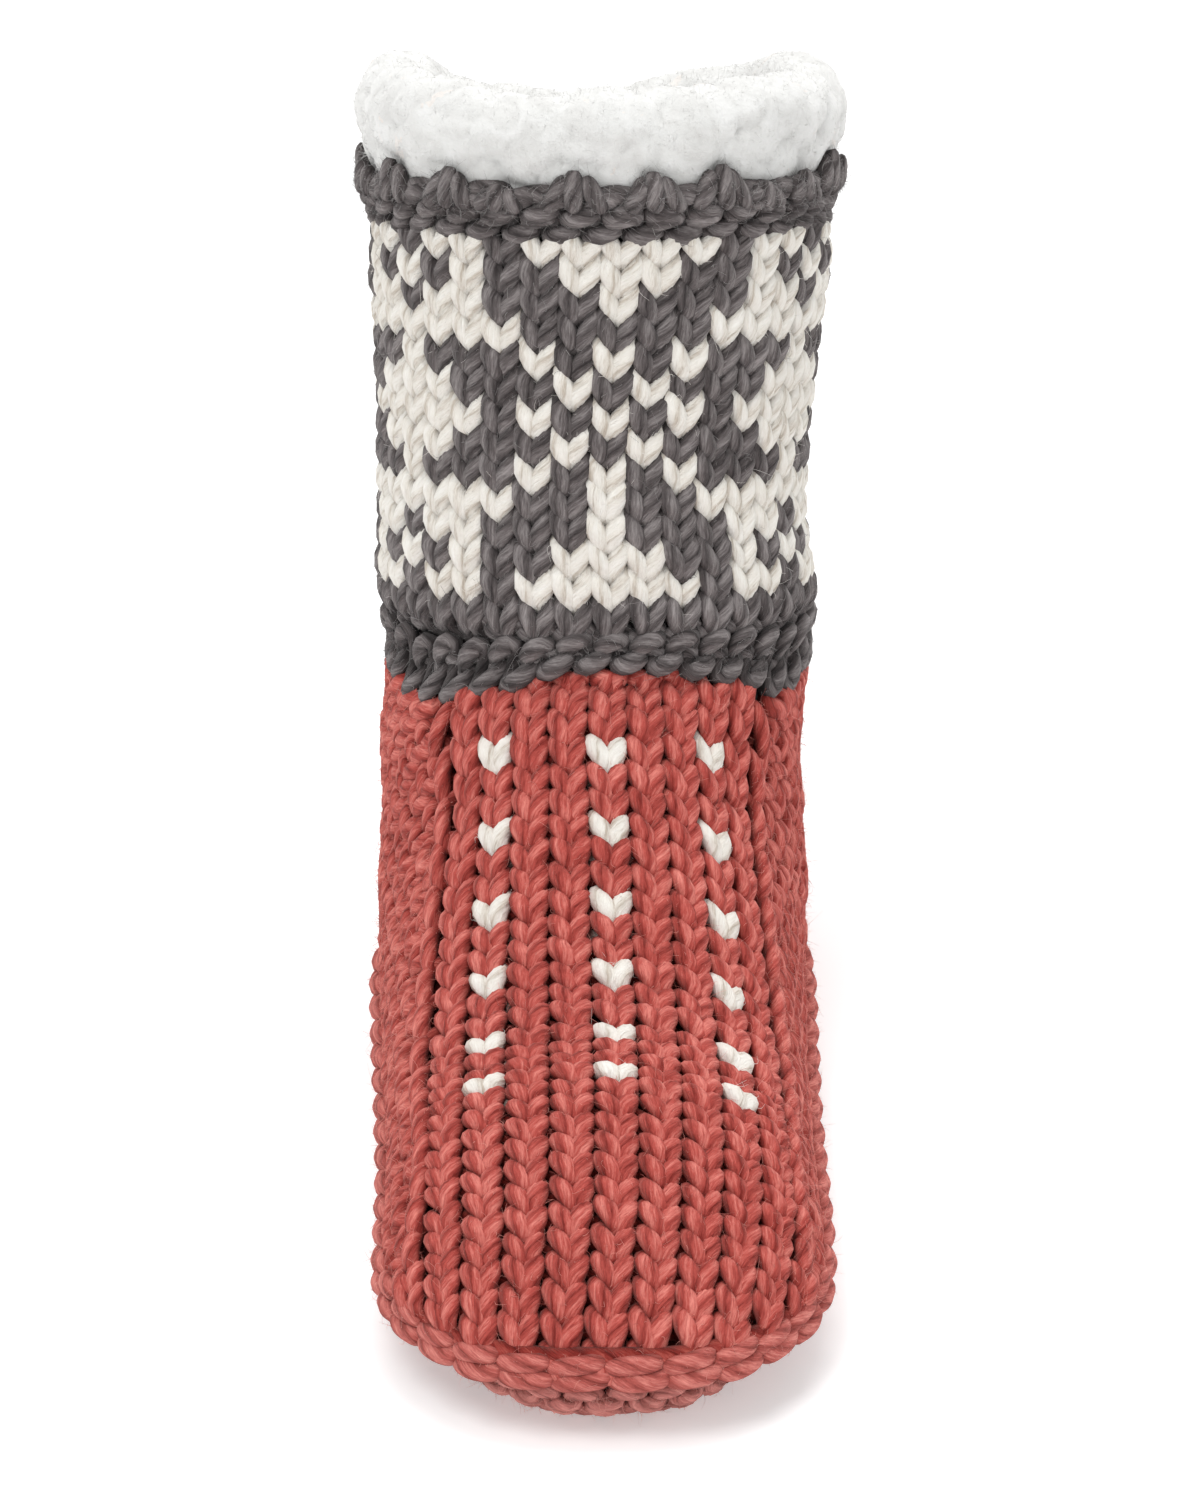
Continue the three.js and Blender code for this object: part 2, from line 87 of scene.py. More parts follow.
ROW = 6.45                  # height of a knitted row
AROUND = 36                 # stitches round the leg
FRONT_STITCH = 18.5         # the one at the front centre line


def unit(v):
    """The vectors at length 1."""
    return v / (np.linalg.norm(v, axis=-1, keepdims=True) + 1e-9)


def run_length(points):
    """Distance along a path from its first point to each of its points."""
    return np.concatenate([[0], np.cumsum(np.linalg.norm(np.diff(points, axis=0), axis=1))])


def between(at, xs, columns):
    """Columns of a table given at xs, interpolated at the places at."""
    return np.stack([np.interp(at, xs, column) for column in columns.T], 1)


def smooth_loop(points, times):
    for _ in range(times):
        points = (np.roll(points, 1, 0) + 2 * points + np.roll(points, -1, 0)) / 4
    return points


def even_loop(points, n):
    """A closed path at n even steps, and its length."""
    closed = np.vstack([points, points[:1]])
    run = run_length(closed)
    return between(np.linspace(0, run[-1], n, endpoint=False), run, closed), run[-1]


def grid_index(rows, cols, wrap=False, wrap_rows=False):
    """Point numbers of a grid, with the first column or row again at the end where it closes."""
    i = np.arange(rows * cols).reshape(rows, cols)
    if wrap_rows:
        i = np.vstack([i, i[:1]])
    return np.concatenate([i, i[:, :1]], 1) if wrap else i


def grid_faces(i, turned=False):
    a, b, c, d = i[:-1, :-1], i[:-1, 1:], i[1:, 1:], i[1:, :-1]
    return np.stack([a, d, c, b] if turned else [a, b, c, d], -1).reshape(-1, 4)


def curve(rows, x):
    """Cubic through rows [x, y...] at the values x; one result per column after the first."""
    xs, ys = rows[:, 0], rows[:, 1:]
    gap = np.diff(xs)[:, None]
    slope = np.diff(ys, axis=0) / gap
    tangent = np.concatenate([slope[:1], (slope[:-1] * gap[1:] + slope[1:] * gap[:-1]) / (gap[1:] + gap[:-1]),
                              slope[-1:]])
    x = np.clip(np.asarray(x, float), xs[0], xs[-1])
    i = np.clip(np.searchsorted(xs, x, side="right") - 1, 0, len(xs) - 2)
    h, t = gap[i], ((x - xs[i]) / gap[i, 0])[..., None]
    return ((2 * t ** 3 - 3 * t ** 2 + 1) * ys[i] + (t ** 3 - 2 * t ** 2 + t) * h * tangent[i]
            + (3 * t ** 2 - 2 * t ** 3) * ys[i + 1] + (t ** 3 - t ** 2) * h * tangent[i + 1])


def ring(f):
    """Front point, direction, half sizes and roundness of the rings at f."""
    f = np.asarray(f, float)
    h = np.maximum(-f, 0)
    r = curve(LEG_R, h)[:, 0]
    cy = FRONT_Y + ANKLE_R * math.cos(LEAN) + h * math.sin(LEAN)
    cz = FRONT_Z - ANKLE_R * math.sin(LEAN) + h * math.cos(LEAN)
    fy, fz, tilt, lt, lb, w, nt, nb = curve(RINGS, np.maximum(f, 0)).T
    c, s = np.cos(np.radians(tilt)), -np.sin(np.radians(tilt))
    q = np.clip((TOE_DEPTH - (fy + lt * c - TOE_Y)) / TOE_DEPTH, 0, 1)
    w = w * np.sqrt(1 - q ** 2.3)
    leg = f < 0
    return (np.where(leg, cy - r * math.cos(LEAN), fy), np.where(leg, cz + r * math.sin(LEAN), fz),
            np.where(leg, math.cos(LEAN), c), np.where(leg, -math.sin(LEAN), s),
            np.where(leg, r, lt), np.where(leg, r, lb), np.where(leg, r, w),
            np.where(leg, 2, nt), np.where(leg, 2, nb))


# ---------- the skin as a fine grid of points and outward normals ----------
F0, F1, F_STEP, SHARES = -152.0, 191.0, 0.5, 200
F_GRID = np.arange(F0, F1 + 1e-6, F_STEP)


def skin_grid():
    fy, fz, c, s, lt, lb, w, nt, nb = (v[:, None] for v in ring(F_GRID))
    a = np.linspace(0, math.pi, 401)[None]
    ca, sa = np.cos(a), np.abs(np.sin(a))
    n = np.where(ca >= 0, nt, nb)
    up = np.sign(ca) * np.abs(ca) ** (2 / n)
    along = np.where(ca >= 0, lt * (1 - up), lt - lb * up)
    raw = np.stack([w * sa ** (2 / n), fy + along * c, fz + along * s], -1)
    run = np.concatenate([np.zeros((len(F_GRID), 1)),
                          np.cumsum(np.linalg.norm(np.diff(raw, axis=1), axis=2), 1)], 1)
    even = np.linspace(0, 1, SHARES + 1)
    grid = np.stack([between(even * run[i, -1], run[i], raw[i]) for i in range(len(F_GRID))])
    normal = np.cross(np.gradient(grid, axis=1), np.gradient(grid, axis=0))
    core = np.concatenate([0 * fy, fy + lt * c, fz + lt * s], 1)[:, None]
    normal *= np.sign((normal * (grid - core)).sum(-1, keepdims=True) + 1e-12)
    normal[:, [0, -1], 0] = 0
    pad = np.pad(unit(normal), ((4, 4), (0, 0), (0, 0)), mode="edge")
    return grid, unit(sum(pad[k:k + len(F_GRID)] for k in range(9))), run[:, -1]


SKIN, NORMAL, LENGTH = skin_grid()


def length(f):
    return np.interp(f, F_GRID, LENGTH)


# how far the knitting is turned round the sock, in mm at the front centre line; the sole seam stays
TWIST = np.array([[-152, 5.5], [-100, 5.0], [-20, 3.2], [0, 3.4], [20, 4.0], [90, 5.2], [125, 5.0],
                  [160, 2.6], [191, 0]])


def place(f, share, out=0.0):
    """Points on the skin, lifted by out, and their normals. share is signed and may pass 1."""
    f, share, out = np.broadcast_arrays(*(np.asarray(v, float) for v in (f, share, out)))
    held = np.clip(f / 40, 0, 1) * np.clip(np.abs(share) / np.maximum(seam_share(f), 0.01), 0, 1) ** 2
    share = share + curve(TWIST, f)[..., 0] / length(f) * (1 - held)
    side, q = np.where(share < 0, -1.0, 1.0), np.abs(share)
    over = q > 1
    q, side = np.where(over, 2 - q, q), np.where(over, -side, side)
    u = np.clip((f - F0) / F_STEP, 0, len(F_GRID) - 1.001)
    v = np.clip(q * SHARES, 0, SHARES - 0.001)
    i, j = u.astype(int), v.astype(int)
    a, b = (u - i)[..., None], (v - j)[..., None]

    def mix(g):
        return (g[i, j] * (1 - a) * (1 - b) + g[i + 1, j] * a * (1 - b)
                + g[i, j + 1] * (1 - a) * b + g[i + 1, j + 1] * a * b)
    p, n = mix(SKIN), unit(mix(NORMAL))
    flip = np.stack([side, np.ones_like(side), np.ones_like(side)], -1)
    p, n = p * flip, n * flip
    return p + n * out[..., None], n


def seam_height(y):
    return curve(SEAM_Z, y)[..., 0]


SEAM_SHARE = {}


def seam_share(f, lift=0.0):
    """Share of the half ring at which it comes down to the seam height plus lift."""
    if lift not in SEAM_SHARE:
        over = SKIN[..., 2] - seam_height(SKIN[..., 1].ravel()).reshape(SKIN.shape[:2]) - lift
        out = np.ones(len(F_GRID))
        for i, row in enumerate(over):
            cross = np.nonzero((row[:-1] > 0) & (row[1:] <= 0))[0]
            if len(cross):
                j = cross[0]
                out[i] = (j + row[j] / (row[j] - row[j + 1])) / SHARES
            elif row[0] <= 0:
                out[i] = 0
        SEAM_SHARE[lift] = out
    return np.interp(f, F_GRID, SEAM_SHARE[lift])


def heel_f():
    back = SKIN[:, -1]
    over = back[:, 2] - seam_height(back[:, 1])
    i = np.nonzero((F_GRID[:-1] > 5) & (over[:-1] > 0) & (over[1:] <= 0))[0][0]
    return F_GRID[i] + F_STEP * over[i] / (over[i] - over[i + 1])


HEEL_F = heel_f()


def drop(angle):
    """How far the ankle edge hangs below the front ring at an angle round the ankle."""
    return curve(DROP, np.abs(angle))[..., 0]


def panel_share(f):
    """Half width of the instep panel as a share of the half ring."""
    f = np.asarray(f, float)
    seam = seam_share(f) - (3.0 + np.clip((f - PANEL_END) / 12, 0, 1) * 2.0) / length(f)
    wide = curve(PANEL, f)[..., 0] / length(f)
    t = np.clip((f - PANEL_END) / (SIDE_END - PANEL_END), 0, 1)
    return np.minimum(wide * (1 - t) + seam * t, seam)


# ---------- meshes ----------
# height along a line that leans back, how far the sock's middle is shifted sideways there, and its
# width as a factor
SWAY = np.array([[-62, 1.1, 1], [-43, 0.9, 1], [-19, 0.6, 1], [-2, -0.5, 1], [27, -1.7, 1], [51, -1.8, 0.995],
                 [66, -1.8, 0.97], [80, -2.0, 0.96], [100, -0.6, 0.96], [114, -0.8, 0.995], [131, -1.8, 0.99],
                 [173, -0.7, 1.01], [197, 0.1, 1.01], [208, -0.2, 0.968], [222, 0.2, 0.98]])
CORNER_IN = 0.11            # how much narrower the toe corners are


def worn(points):
    """A real sock isn't straight: its middle sways a little, and its toe corners draw in."""
    x, y, z = points.T
    corner_in = np.clip((-y - 112) / 34, 0, 1) * np.clip(np.abs(x) / 45, 0, 1) ** 2
    shift, width = curve(SWAY, 0.9 * z + 0.43 * y).T
    points[:, 0] = x * (1 - CORNER_IN * corner_in) * width + shift
    return points


def mesh_object(name, points, faces, floats=None, pairs=None):
    """A mesh from millimetre points; floats are point values, pairs a two-value map per corner."""
    me = bpy.data.meshes.new(name)
    pts = worn(np.array(points, float))
    pts[:, 1] += CENTRE_Y
    pts /= 1000.0
    faces = [np.asarray(f, np.int64) for f in (faces if isinstance(faces, list) else [faces])]
    sizes = np.concatenate([np.full(len(f), f.shape[1]) for f in faces])
    corners = np.concatenate([f.ravel() for f in faces])
    me.vertices.add(len(pts))
    me.vertices.foreach_set("co", pts.astype(np.float32).ravel())
    me.loops.add(len(corners))
    me.loops.foreach_set("vertex_index", corners.astype(np.int32))
    me.polygons.add(len(sizes))
    me.polygons.foreach_set("loop_start", np.concatenate([[0], np.cumsum(sizes)[:-1]]).astype(np.int32))
    me.update(calc_edges=True)
    me.polygons.foreach_set("use_smooth", np.ones(len(sizes), bool))
    for key, values in (floats or {}).items():
        me.attributes.new(key, "FLOAT", "POINT").data.foreach_set("value", np.asarray(values, np.float32))
    for key, values in (pairs or {}).items():
        data = me.attributes.new(key, "FLOAT2", "CORNER").data
        data.foreach_set("vector", np.asarray(values, np.float32).ravel())
    me.validate()
    ob = bpy.data.objects.new(name, me)
    bpy.context.scene.collection.objects.link(ob)
    return ob


class Yarns:
    """Collects yarns, each a tube round a path that lies on the fabric, into one mesh."""

    def __init__(self, sides=10):
        self.sides, self.points, self.quads, self.caps = sides, [], [], []
        self.map, self.capmap, self.cream, self.tone, self.deep, self.spots = [], [], [], [], [], []
        self.count = 0
        self.rng = np.random.default_rng(11)

    def add(self, path, normal, radius, cream=0.0, tone=0.5, closed=False, squash=0.9, fuzz=1.0, level=0.6):
        """level is how far out the yarn lies among its neighbours, 0 to 1; yarn that lies far in, and the
        underside of each tube, get painted shade.
        """
        n, m = len(path), self.sides
        radius, cream, tone, fuzz, level = (np.broadcast_to(v, n) for v in (radius, cream, tone, fuzz, level))
        if closed:
            along = np.roll(path, -1, 0) - np.roll(path, 1, 0)
        else:
            along = np.gradient(path, axis=0)
        along = unit(along)
        side = unit(np.cross(along, normal))
        out = np.cross(side, along)
        run = run_length(path) + self.rng.uniform(0, 500)
        angle = np.arange(m) * 2 * math.pi / m
        loops = (path[:, None] + (radius[:, None] * np.cos(angle))[..., None] * side[:, None]
                 + (radius[:, None] * squash * np.sin(angle))[..., None] * out[:, None])
        first = self.count
        self.quads.append(first + grid_faces(grid_index(n, m, wrap=True, wrap_rows=closed)))
        u = np.append(run, 2 * run[-1] - run[-2]) if closed else run
        corner = np.stack(np.broadcast_arrays(u[:, None], np.arange(m + 1)[None] / m), -1)
        self.map.append(np.stack([corner[:-1, :-1], corner[:-1, 1:], corner[1:, 1:], corner[1:, :-1]],
                                 2).reshape(-1, 2))
        if not closed:
            for row, turn in ((0, -1), (n - 1, 1)):
                cap = first + row * m + np.arange(m)
                self.caps.append(cap[::turn][None])
                self.capmap.append(np.stack([np.full(m, run[row]), np.arange(m) / m], -1))
        self.points.append(loops.reshape(-1, 3))
        self.cream.append(np.repeat(cream, m))
        self.tone.append(np.repeat(tone, m))
        # painted shade: a value per point, low where the yarn lies far in and on the tube's underside, by which
        # the wool material darkens its colour
        self.deep.append((level[:, None] * 0.6 + 0.4 * np.sin(angle)).ravel())
        keep = (np.sin(angle) > -0.2)
        where = loops[:, keep]
        away = (loops - path[:, None])[:, keep] / radius[:, None, None]
        self.spots.append((where.reshape(-1, 3), (away * 0.6 + normal[:, None] * 0.7).reshape(-1, 3),
                           *(np.repeat(v, keep.sum(), 0) for v in (along, cream, fuzz))))
        self.count += n * m

    def build(self, name):
        faces = [np.concatenate(self.quads)] + ([np.concatenate(self.caps)] if self.caps else [])
        return mesh_object(name, np.concatenate(self.points), faces,
                           floats={"cream": np.concatenate(self.cream), "tone": np.concatenate(self.tone),
                                   "deep": np.clip(np.concatenate(self.deep), 0, 1)},
                           pairs={"yarn": np.concatenate(self.map + self.capmap)})


def fibres(name, groups, number, size, seed, thick=0.05):
    """Loose fibres that stand off the yarns: thin tapered three-sided tubes."""
    rng = np.random.default_rng(seed)
    base, away, along, cream, fuzz = (np.concatenate([np.concatenate([s[k] for s in g.spots]) for g in groups])
                                      for k in range(5))
    pick = rng.choice(len(base), number, p=fuzz / fuzz.sum())
    p, a, t, cr = base[pick], away[pick], along[pick], cream[pick]
    a = unit(a)
    go = unit(a * rng.uniform(0.15, 0.8, (number, 1)) + t * rng.normal(0, 0.8, (number, 1))
              + rng.normal(0, 0.35, (number, 3)))
    bend = rng.normal(0, 1, (number, 3)) * 1.3 - a * 0.5
    twist = np.cross(go, rng.normal(0, 1, (number, 3)))
    reach = size[0] + (size[1] - size[0]) * rng.uniform(0, 1, (number, 1)) ** 2
    steps = 6
    s = np.linspace(0, 1, steps)[None, :, None]
    path = (p[:, None] + reach[:, None] * (go[:, None] * s + 0.45 * bend[:, None] * s ** 2
            + 0.12 * twist[:, None] * np.sin(4 * s)))
    tan = unit(np.gradient(path, axis=1))
    one = unit(np.cross(tan, rng.normal(0, 1, (number, 1, 3)) + 0 * tan))
    two = np.cross(tan, one)
    wide = thick * np.linspace(1, 0.35, steps)[None, :, None]
    loops = np.stack([path + wide * (one * math.cos(turn) + two * math.sin(turn))
                      for turn in (0, 2 * math.pi / 3, 4 * math.pi / 3)], 2)
    loops[..., 2] = np.maximum(loops[..., 2], 0.3)      # none goes through the floor
    idx = np.arange(number * steps * 3).reshape(number, steps, 3)
    nxt = np.roll(idx, -1, 2)
    quads = np.stack([idx[:, :-1], nxt[:, :-1], nxt[:, 1:], idx[:, 1:]], -1).reshape(-1, 4)
    caps = np.concatenate([idx[:, 0, ::-1], idx[:, -1]])
    return mesh_object(name, loops.reshape(-1, 3), [quads, caps],
                       floats={"cream": np.repeat(cr, steps * 3),
                               "tone": np.repeat(rng.uniform(0, 1, number), steps * 3)})


# ---------- knitting ----------
SEG = 18                    # points of a yarn per stitch
OVERLAP = 1.72              # height of a loop in rows: it reaches into the row above


def course(yarns, count, where, height, radius, depth, mask=None, closed=False, purl=False,
           cream=None, seed=0, lean=0.27, plump=0.3, wobble=0.35, fuzz=1.0, shift=0.0, squash=0.9,
           pinch=0.015, skew=0.0, tilt=0.0, light=0.0):
    """One knitted row. where(x, y, out) places fabric coordinates: x in stitches, y and out in mm.

    lean, pinch, skew and tilt shape the loops: how far their legs spread, how much the feet draw
    together, and how much the loops turn sideways or along the row. light lifts the painted shade.
    """
    rng = np.random.default_rng(seed)
    if mask is None:
        mask = np.ones(count, bool)
    spread = rng.normal(0, 1, (5, count + 2))
    spread[:, -2:] = spread[:, :2]
    blocks = [(0, count)] if closed or mask.all() else []
    if not blocks:
        edges = np.flatnonzero(np.diff(np.concatenate([[0], mask.astype(int), [0]])))
        blocks = list(zip(edges[::2], edges[1::2]))
    for lo, hi in blocks:
        n = (hi - lo) * SEG
        t = np.linspace(lo, hi, n, endpoint=False) if closed else np.linspace(lo, hi, n + 1)
        ph = (t - 0.5) * 2 * math.pi            # stitch k has its head at k + 0.5
        grain = [np.interp(t, np.arange(count + 2) + 0.25, s) for s in spread]
        x = t + lean * np.sin(2 * ph) - pinch * np.sin(ph) - skew * np.cos(ph) + 0.02 * grain[0]
        y = height / 2 * np.cos(ph) + wobble * grain[1] + tilt * np.sin(2 * ph)
        z = (depth if purl else -depth) * np.cos(2 * ph) * (1 + 0.1 * grain[2]) + 0.25 * grain[3]
        r = radius * (1 - plump * np.cos(ph) ** 2 * (0.7 - 0.3 * np.cos(ph))) * (1 + 0.05 * grain[4])
        if purl:
            r = radius * (1 - plump * 0.6 * np.sin(ph) ** 2) * (1 + 0.05 * grain[4])
        k = np.clip(t.astype(int), 0, count - 1)
        path, normal = where(x + shift, y, z)
        tone = np.clip(0.5 + 0.2 * np.interp(t, np.arange(count + 2) + 0.5, spread[2]), 0, 1)
        # painted shade: through level, the parts of each loop that lie under their neighbours are painted darker
        yarns.add(path, normal, r, 0.0 if cream is None else cream[k], tone, closed=closed, fuzz=fuzz,
                  squash=squash, level=0.5 + light + 0.5 * np.cos(2 * ph) * (1 if purl else -1))


def fair_isle(row):
    """Which of the 36 stitches of a pattern row are cream. Row 1 is at the top of the leg."""
    centre = {1: (-2, -1, 0, 1, 2), 2: (-1, 0, 1), 3: (0,), 4: (), 5: (-2, 0, 2), 6: (-1, 1), 7: (-2, 0, 2),
              8: (-1, 1), 9: (-2, 0, 2), 10: (0,), 11: (0,), 12: (-1, 0, 1), 13: (-2, -1, 0, 1, 2)}
    flake = {1: (-2, -1, 1, 2), 2: (-2, 0, 2), 3: (-2, -1, 1, 2), 4: (-3, -2, -1, 0, 1, 2, 3), 5: (0,),
             6: (-1, 0, 1), 7: (-2, -1, 0, 1, 2), 8: (-1, 0, 1), 9: (0,), 10: (-3, -2, -1, 0, 1, 2, 3),
             11: (-2, -1, 1, 2), 12: (-2, 0, 2), 13: (-2, -1, 1, 2)}
    out = np.zeros(AROUND)
    for k in range(AROUND):
        m = (k - 18 + 6) % 12 - 6
        s = m - 6 if m > 0 else m + 6
        out[k] = m in centre[row] or s in flake[row]
    return out


def round_share(x):
    """Share of the half ring at stitch x of a row that goes all the way round."""
    return (x - FRONT_STITCH) / AROUND * 2


def leg_place(h):
    """Fabric coordinates of a closed row on the leg at height h."""
    return lambda x, y, z: place(-(h + y), round_share(x), z)


MID = -3.1                  # the middle of the knit layer under the skin


def lifted(where, lift):
    return lambda x, y, z: where(x, y, z + lift)


# ----- leg -----
leg = Yarns()
for r in range(13, 0, -1):
    h = BAND_H + (13 - r + 0.6) * ROW
    course(leg, AROUND, lifted(leg_place(h), MID), OVERLAP * ROW, 2.35, 1.35, closed=True,
           cream=fair_isle(r), seed=100 + r, fuzz=0.8)

# ----- roll at the top: purl ridges on a bulging band, and picots -----
roll = Yarns()


def bulge(h):
    return 2.6 * np.sin(np.clip((h - 100) / 17, 0, 1) * math.pi)


def roll_place(h):
    def at(x, y, z):
        hh = h + y
        return place(-hh, round_share(x), z - 2.5 + bulge(hh))
    return at


for k, (h, tall) in enumerate(((102.4, 4.2), (106.6, 3.8))):
    course(roll, AROUND, roll_place(h), tall, 2.45, 1.1, closed=True, purl=True, lean=0.19, plump=0.3,
           seed=200 + k, shift=0.5 * (k % 2), fuzz=2.0, wobble=0.6, tilt=0.8)
rng = np.random.default_rng(5)
# picots of the cast-off edge: stitches from the front centre, and size
PICOTS = [(-8.3, 0.8), (-6.4, 1.0), (-4.3, 1.0), (-2.9, 0.6), (-1.1, 1.0), (0.7, 1.0), (2.4, 1.15), (3.6, 0.6),
          (5.2, 0.8), (6.8, 1.1), (8.5, 0.8), (10.3, 1.0), (12.2, 0.7), (14, 1.0), (16, 0.8), (17.8, 1.0),
          (19.8, 0.7), (21.7, 1.0), (23.6, 0.8), (25.6, 1.0)]
PICOT_FOOT, PICOT_TALL = 106.0, 8.6
# painted shade: through level, the picot strands and their links are painted darker towards their ends
for at, big in PICOTS:                      # three fat strands each, and one that links it to the next
    tall = (PICOT_TALL + rng.uniform(-0.6, 0.6)) * big
    t = np.linspace(-1, 1, 14)
    for fan in (-1, 0, 1):
        x = at + fan * (0.38 - 0.22 * t) * (0.5 + 0.5 * big) + 0.04 * rng.normal()
        hh = PICOT_FOOT + (t + 1) / 2 * (tall - abs(fan) * 1.6)
        out = 0.6 + 1.8 * np.sqrt(1 - (t * 0.8) ** 2) + (0.7 if fan == 0 else 0)
        path, normal = place(-hh, x / AROUND * 2, out)
        ends = np.sqrt(np.clip(1 - (t * 0.92) ** 4, 0.02, 1))
        roll.add(path, normal, 2.3 * ends, 0.0, rng.uniform(0.3, 0.7), fuzz=2.5,
                 level=0.35 + 0.55 * np.sqrt(1 - t ** 2))
    x = at + 0.95 + t * 0.6
    hh = PICOT_FOOT + 2.4 + 1.0 * (1 - t ** 2) + rng.uniform(-0.5, 0.8)
    path, normal = place(-hh, x / AROUND * 2, -1.2 + 1.5 * (1 - t ** 2))
    roll.add(path, normal, 2.4 * ends, 0.0, rng.uniform(0.3, 0.7), fuzz=2.5, level=0.3 + 0.5 * (1 - t ** 2))

# ----- ankle: a last plain row and one purl row, which shows as two staggered ridges -----
ankle = Yarns()
RIDGE_TOP, RIDGE_FOOT = 10.5, 1.7


def ankle_place(level, lift=0.0):
    """level 0 is the ankle edge, 1 the top of the ridges."""
    def at(x, y, z):
        share = round_share(x)
        angle = np.abs((share + 1) % 2 - 1) * math.pi
        low = RIDGE_FOOT - 1.2 * drop(angle) - 2.0 * np.clip((angle - 1.2) / 0.8, 0, 1)
        stretch = (RIDGE_TOP - low) / (RIDGE_TOP - RIDGE_FOOT)
        return place(-(low + (RIDGE_TOP - low) * level + y * stretch), share, z - 2.6 + lift)
    return at


course(ankle, AROUND, lifted(leg_place(BAND_H - 0.4 * ROW), MID), OVERLAP * ROW, 2.3, 1.35, closed=True,
       seed=299, lean=0.24, pinch=0.03)
for level, lift, radius, depth, seed in ((0.5, -1.6, 2.3, 0.6, 298), (1.0, -1.4, 2.2, 0.4, 297)):
    course(ankle, AROUND, ankle_place(level, lift), 1.5, radius, depth, closed=True, purl=True, lean=0.1,
           seed=seed, shift=0.25)
course(ankle, AROUND, ankle_place(0.47), 4.7, 2.4, 1.0, closed=True, purl=True, lean=0.2, plump=0.3,
       seed=300, fuzz=1.5, wobble=0.55, tilt=0.9)

# ----- instep -----
instep = Yarns()
CREAM_ROWS, CREAM_COLUMNS = (2, 5, 8, 11, 14, 17), (-3, 0, 3)
COLUMNS = np.arange(-6, 7)
COLUMN_PITCH = np.array([[0, 9.4], [80, 9.5], [137, 9.65], [160, 9.5], [192, 9.2]])
# how far down the skin the tips of the rows lie
ROW_TIPS = np.array([[-1, -4.4], [0, 2.4], [3, 23.0], [6, 42.2], [9, 61.0], [12, 79.2], [15, 101.0], [18, 117.0],
                     [21, 134.5], [24, 152.5], [27, 171.5], [30, 192.5]])


def row_tip(r):
    return float(curve(ROW_TIPS, np.array([r], float))[0, 0])


def instep_place(f0):
    def at(x, y, z):
        f = np.maximum(f0 - y, -0.8)
        pitch = curve(COLUMN_PITCH, f)[..., 0] / length(f)
        tuck = -3.0 * np.clip((8 - f) / 10, 0, 1)
        return place(f, (x - 6.5) * pitch, z + MID + tuck)
    return at


for r in range(-1, 30):
    tall = row_tip(r + 1) - row_tip(r)
    f0 = row_tip(r + 1) - 0.6 * tall
    if f0 > F1:
        break
    arc = np.abs(COLUMNS) * curve(COLUMN_PITCH, [f0])[0, 0]
    room = panel_share(f0) * length(f0) + (0.5 if f0 < PANEL_END else 3.5)
    mask = (f0 > drop(arc / ANKLE_R) - 4) & (arc < room)
    cream = np.array([float(c in CREAM_COLUMNS and r in CREAM_ROWS) for c in COLUMNS])
    toeward = min(1, max(r, 0) / 18)        # the loops draw together and turn towards the toe
    course(instep, len(COLUMNS), instep_place(f0), 1.74 * tall, 2.4, 1.75, mask=mask, cream=cream,
           seed=400 + r, fuzz=1.0 + 0.5 * (r > 24), lean=0.235, pinch=0.055 + 0.03 * toeward,
           skew=0.06 + 0.06 * toeward)


# ----- the band of the side and heel panels -----
def evenly(path, n):
    """A path of (f, share) resampled evenly by its length on the skin."""
    path = np.array(path, float)
    run = run_length(place(path[:, 0], path[:, 1])[0])
    return between(np.linspace(0, run[-1], n), run, path), run[-1]


TOE_BACK = 176.0            # where the side band ends behind the toe
SOLE_BEND = 60              # the sole line is followed by f in front of this, and closely behind it


def pick_out(f):
    """How far outside the instep panel the side band starts; the line of holes ends before the toe."""
    return PICKUP + 3.0 - 2.6 * np.clip((np.asarray(f) - 95) / 30, 0, 1)


fs = np.linspace(TOE_BACK, drop(47 / ANKLE_R) - 1, 120)
upper_path = [(f, s + pick_out(f) / length(f)) for f, s in zip(fs, panel_share(fs))]
for arc in np.linspace(PANEL_ARC + 7, length(0.0), 60):
    upper_path.append((drop(arc / ANKLE_R) - 1.5, arc / length(0.0)))
fs = np.concatenate([np.linspace(TOE_BACK, SOLE_BEND, 90),
                     HEEL_F + (SOLE_BEND - HEEL_F) * np.linspace(1, 0.02, 60)[1:] ** 2])
lower_path = [(f, s) for f, s in zip(fs, seam_share(fs, 0.8))] + [(HEEL_F - 0.4, 1.0)]
U_N, V_MAX = 240, 110
UPPER, _ = evenly(upper_path, U_N)
LOWER, HALF = evenly(lower_path, U_N)
tt = np.linspace(0, 1, 61)
cells = LOWER[:, None] + (UPPER - LOWER)[:, None] * tt[None, :, None]
run = np.linalg.norm(np.diff(place(cells[..., 0], cells[..., 1])[0], axis=1), axis=2)
run = np.concatenate([np.zeros((U_N, 1)), np.cumsum(run, 1)], 1)
TALL = run[:, -1]
VS = np.arange(0, V_MAX + 1.0)
BAND = np.stack([between(np.clip(VS, 0, TALL[i]), run[i], cells[i]) for i in range(U_N)])


def band_height(s):
    """How tall the band is at s, measured round it from the back."""
    return np.interp(1 - np.abs(s) / HALF, np.linspace(0, 1, U_N), TALL)


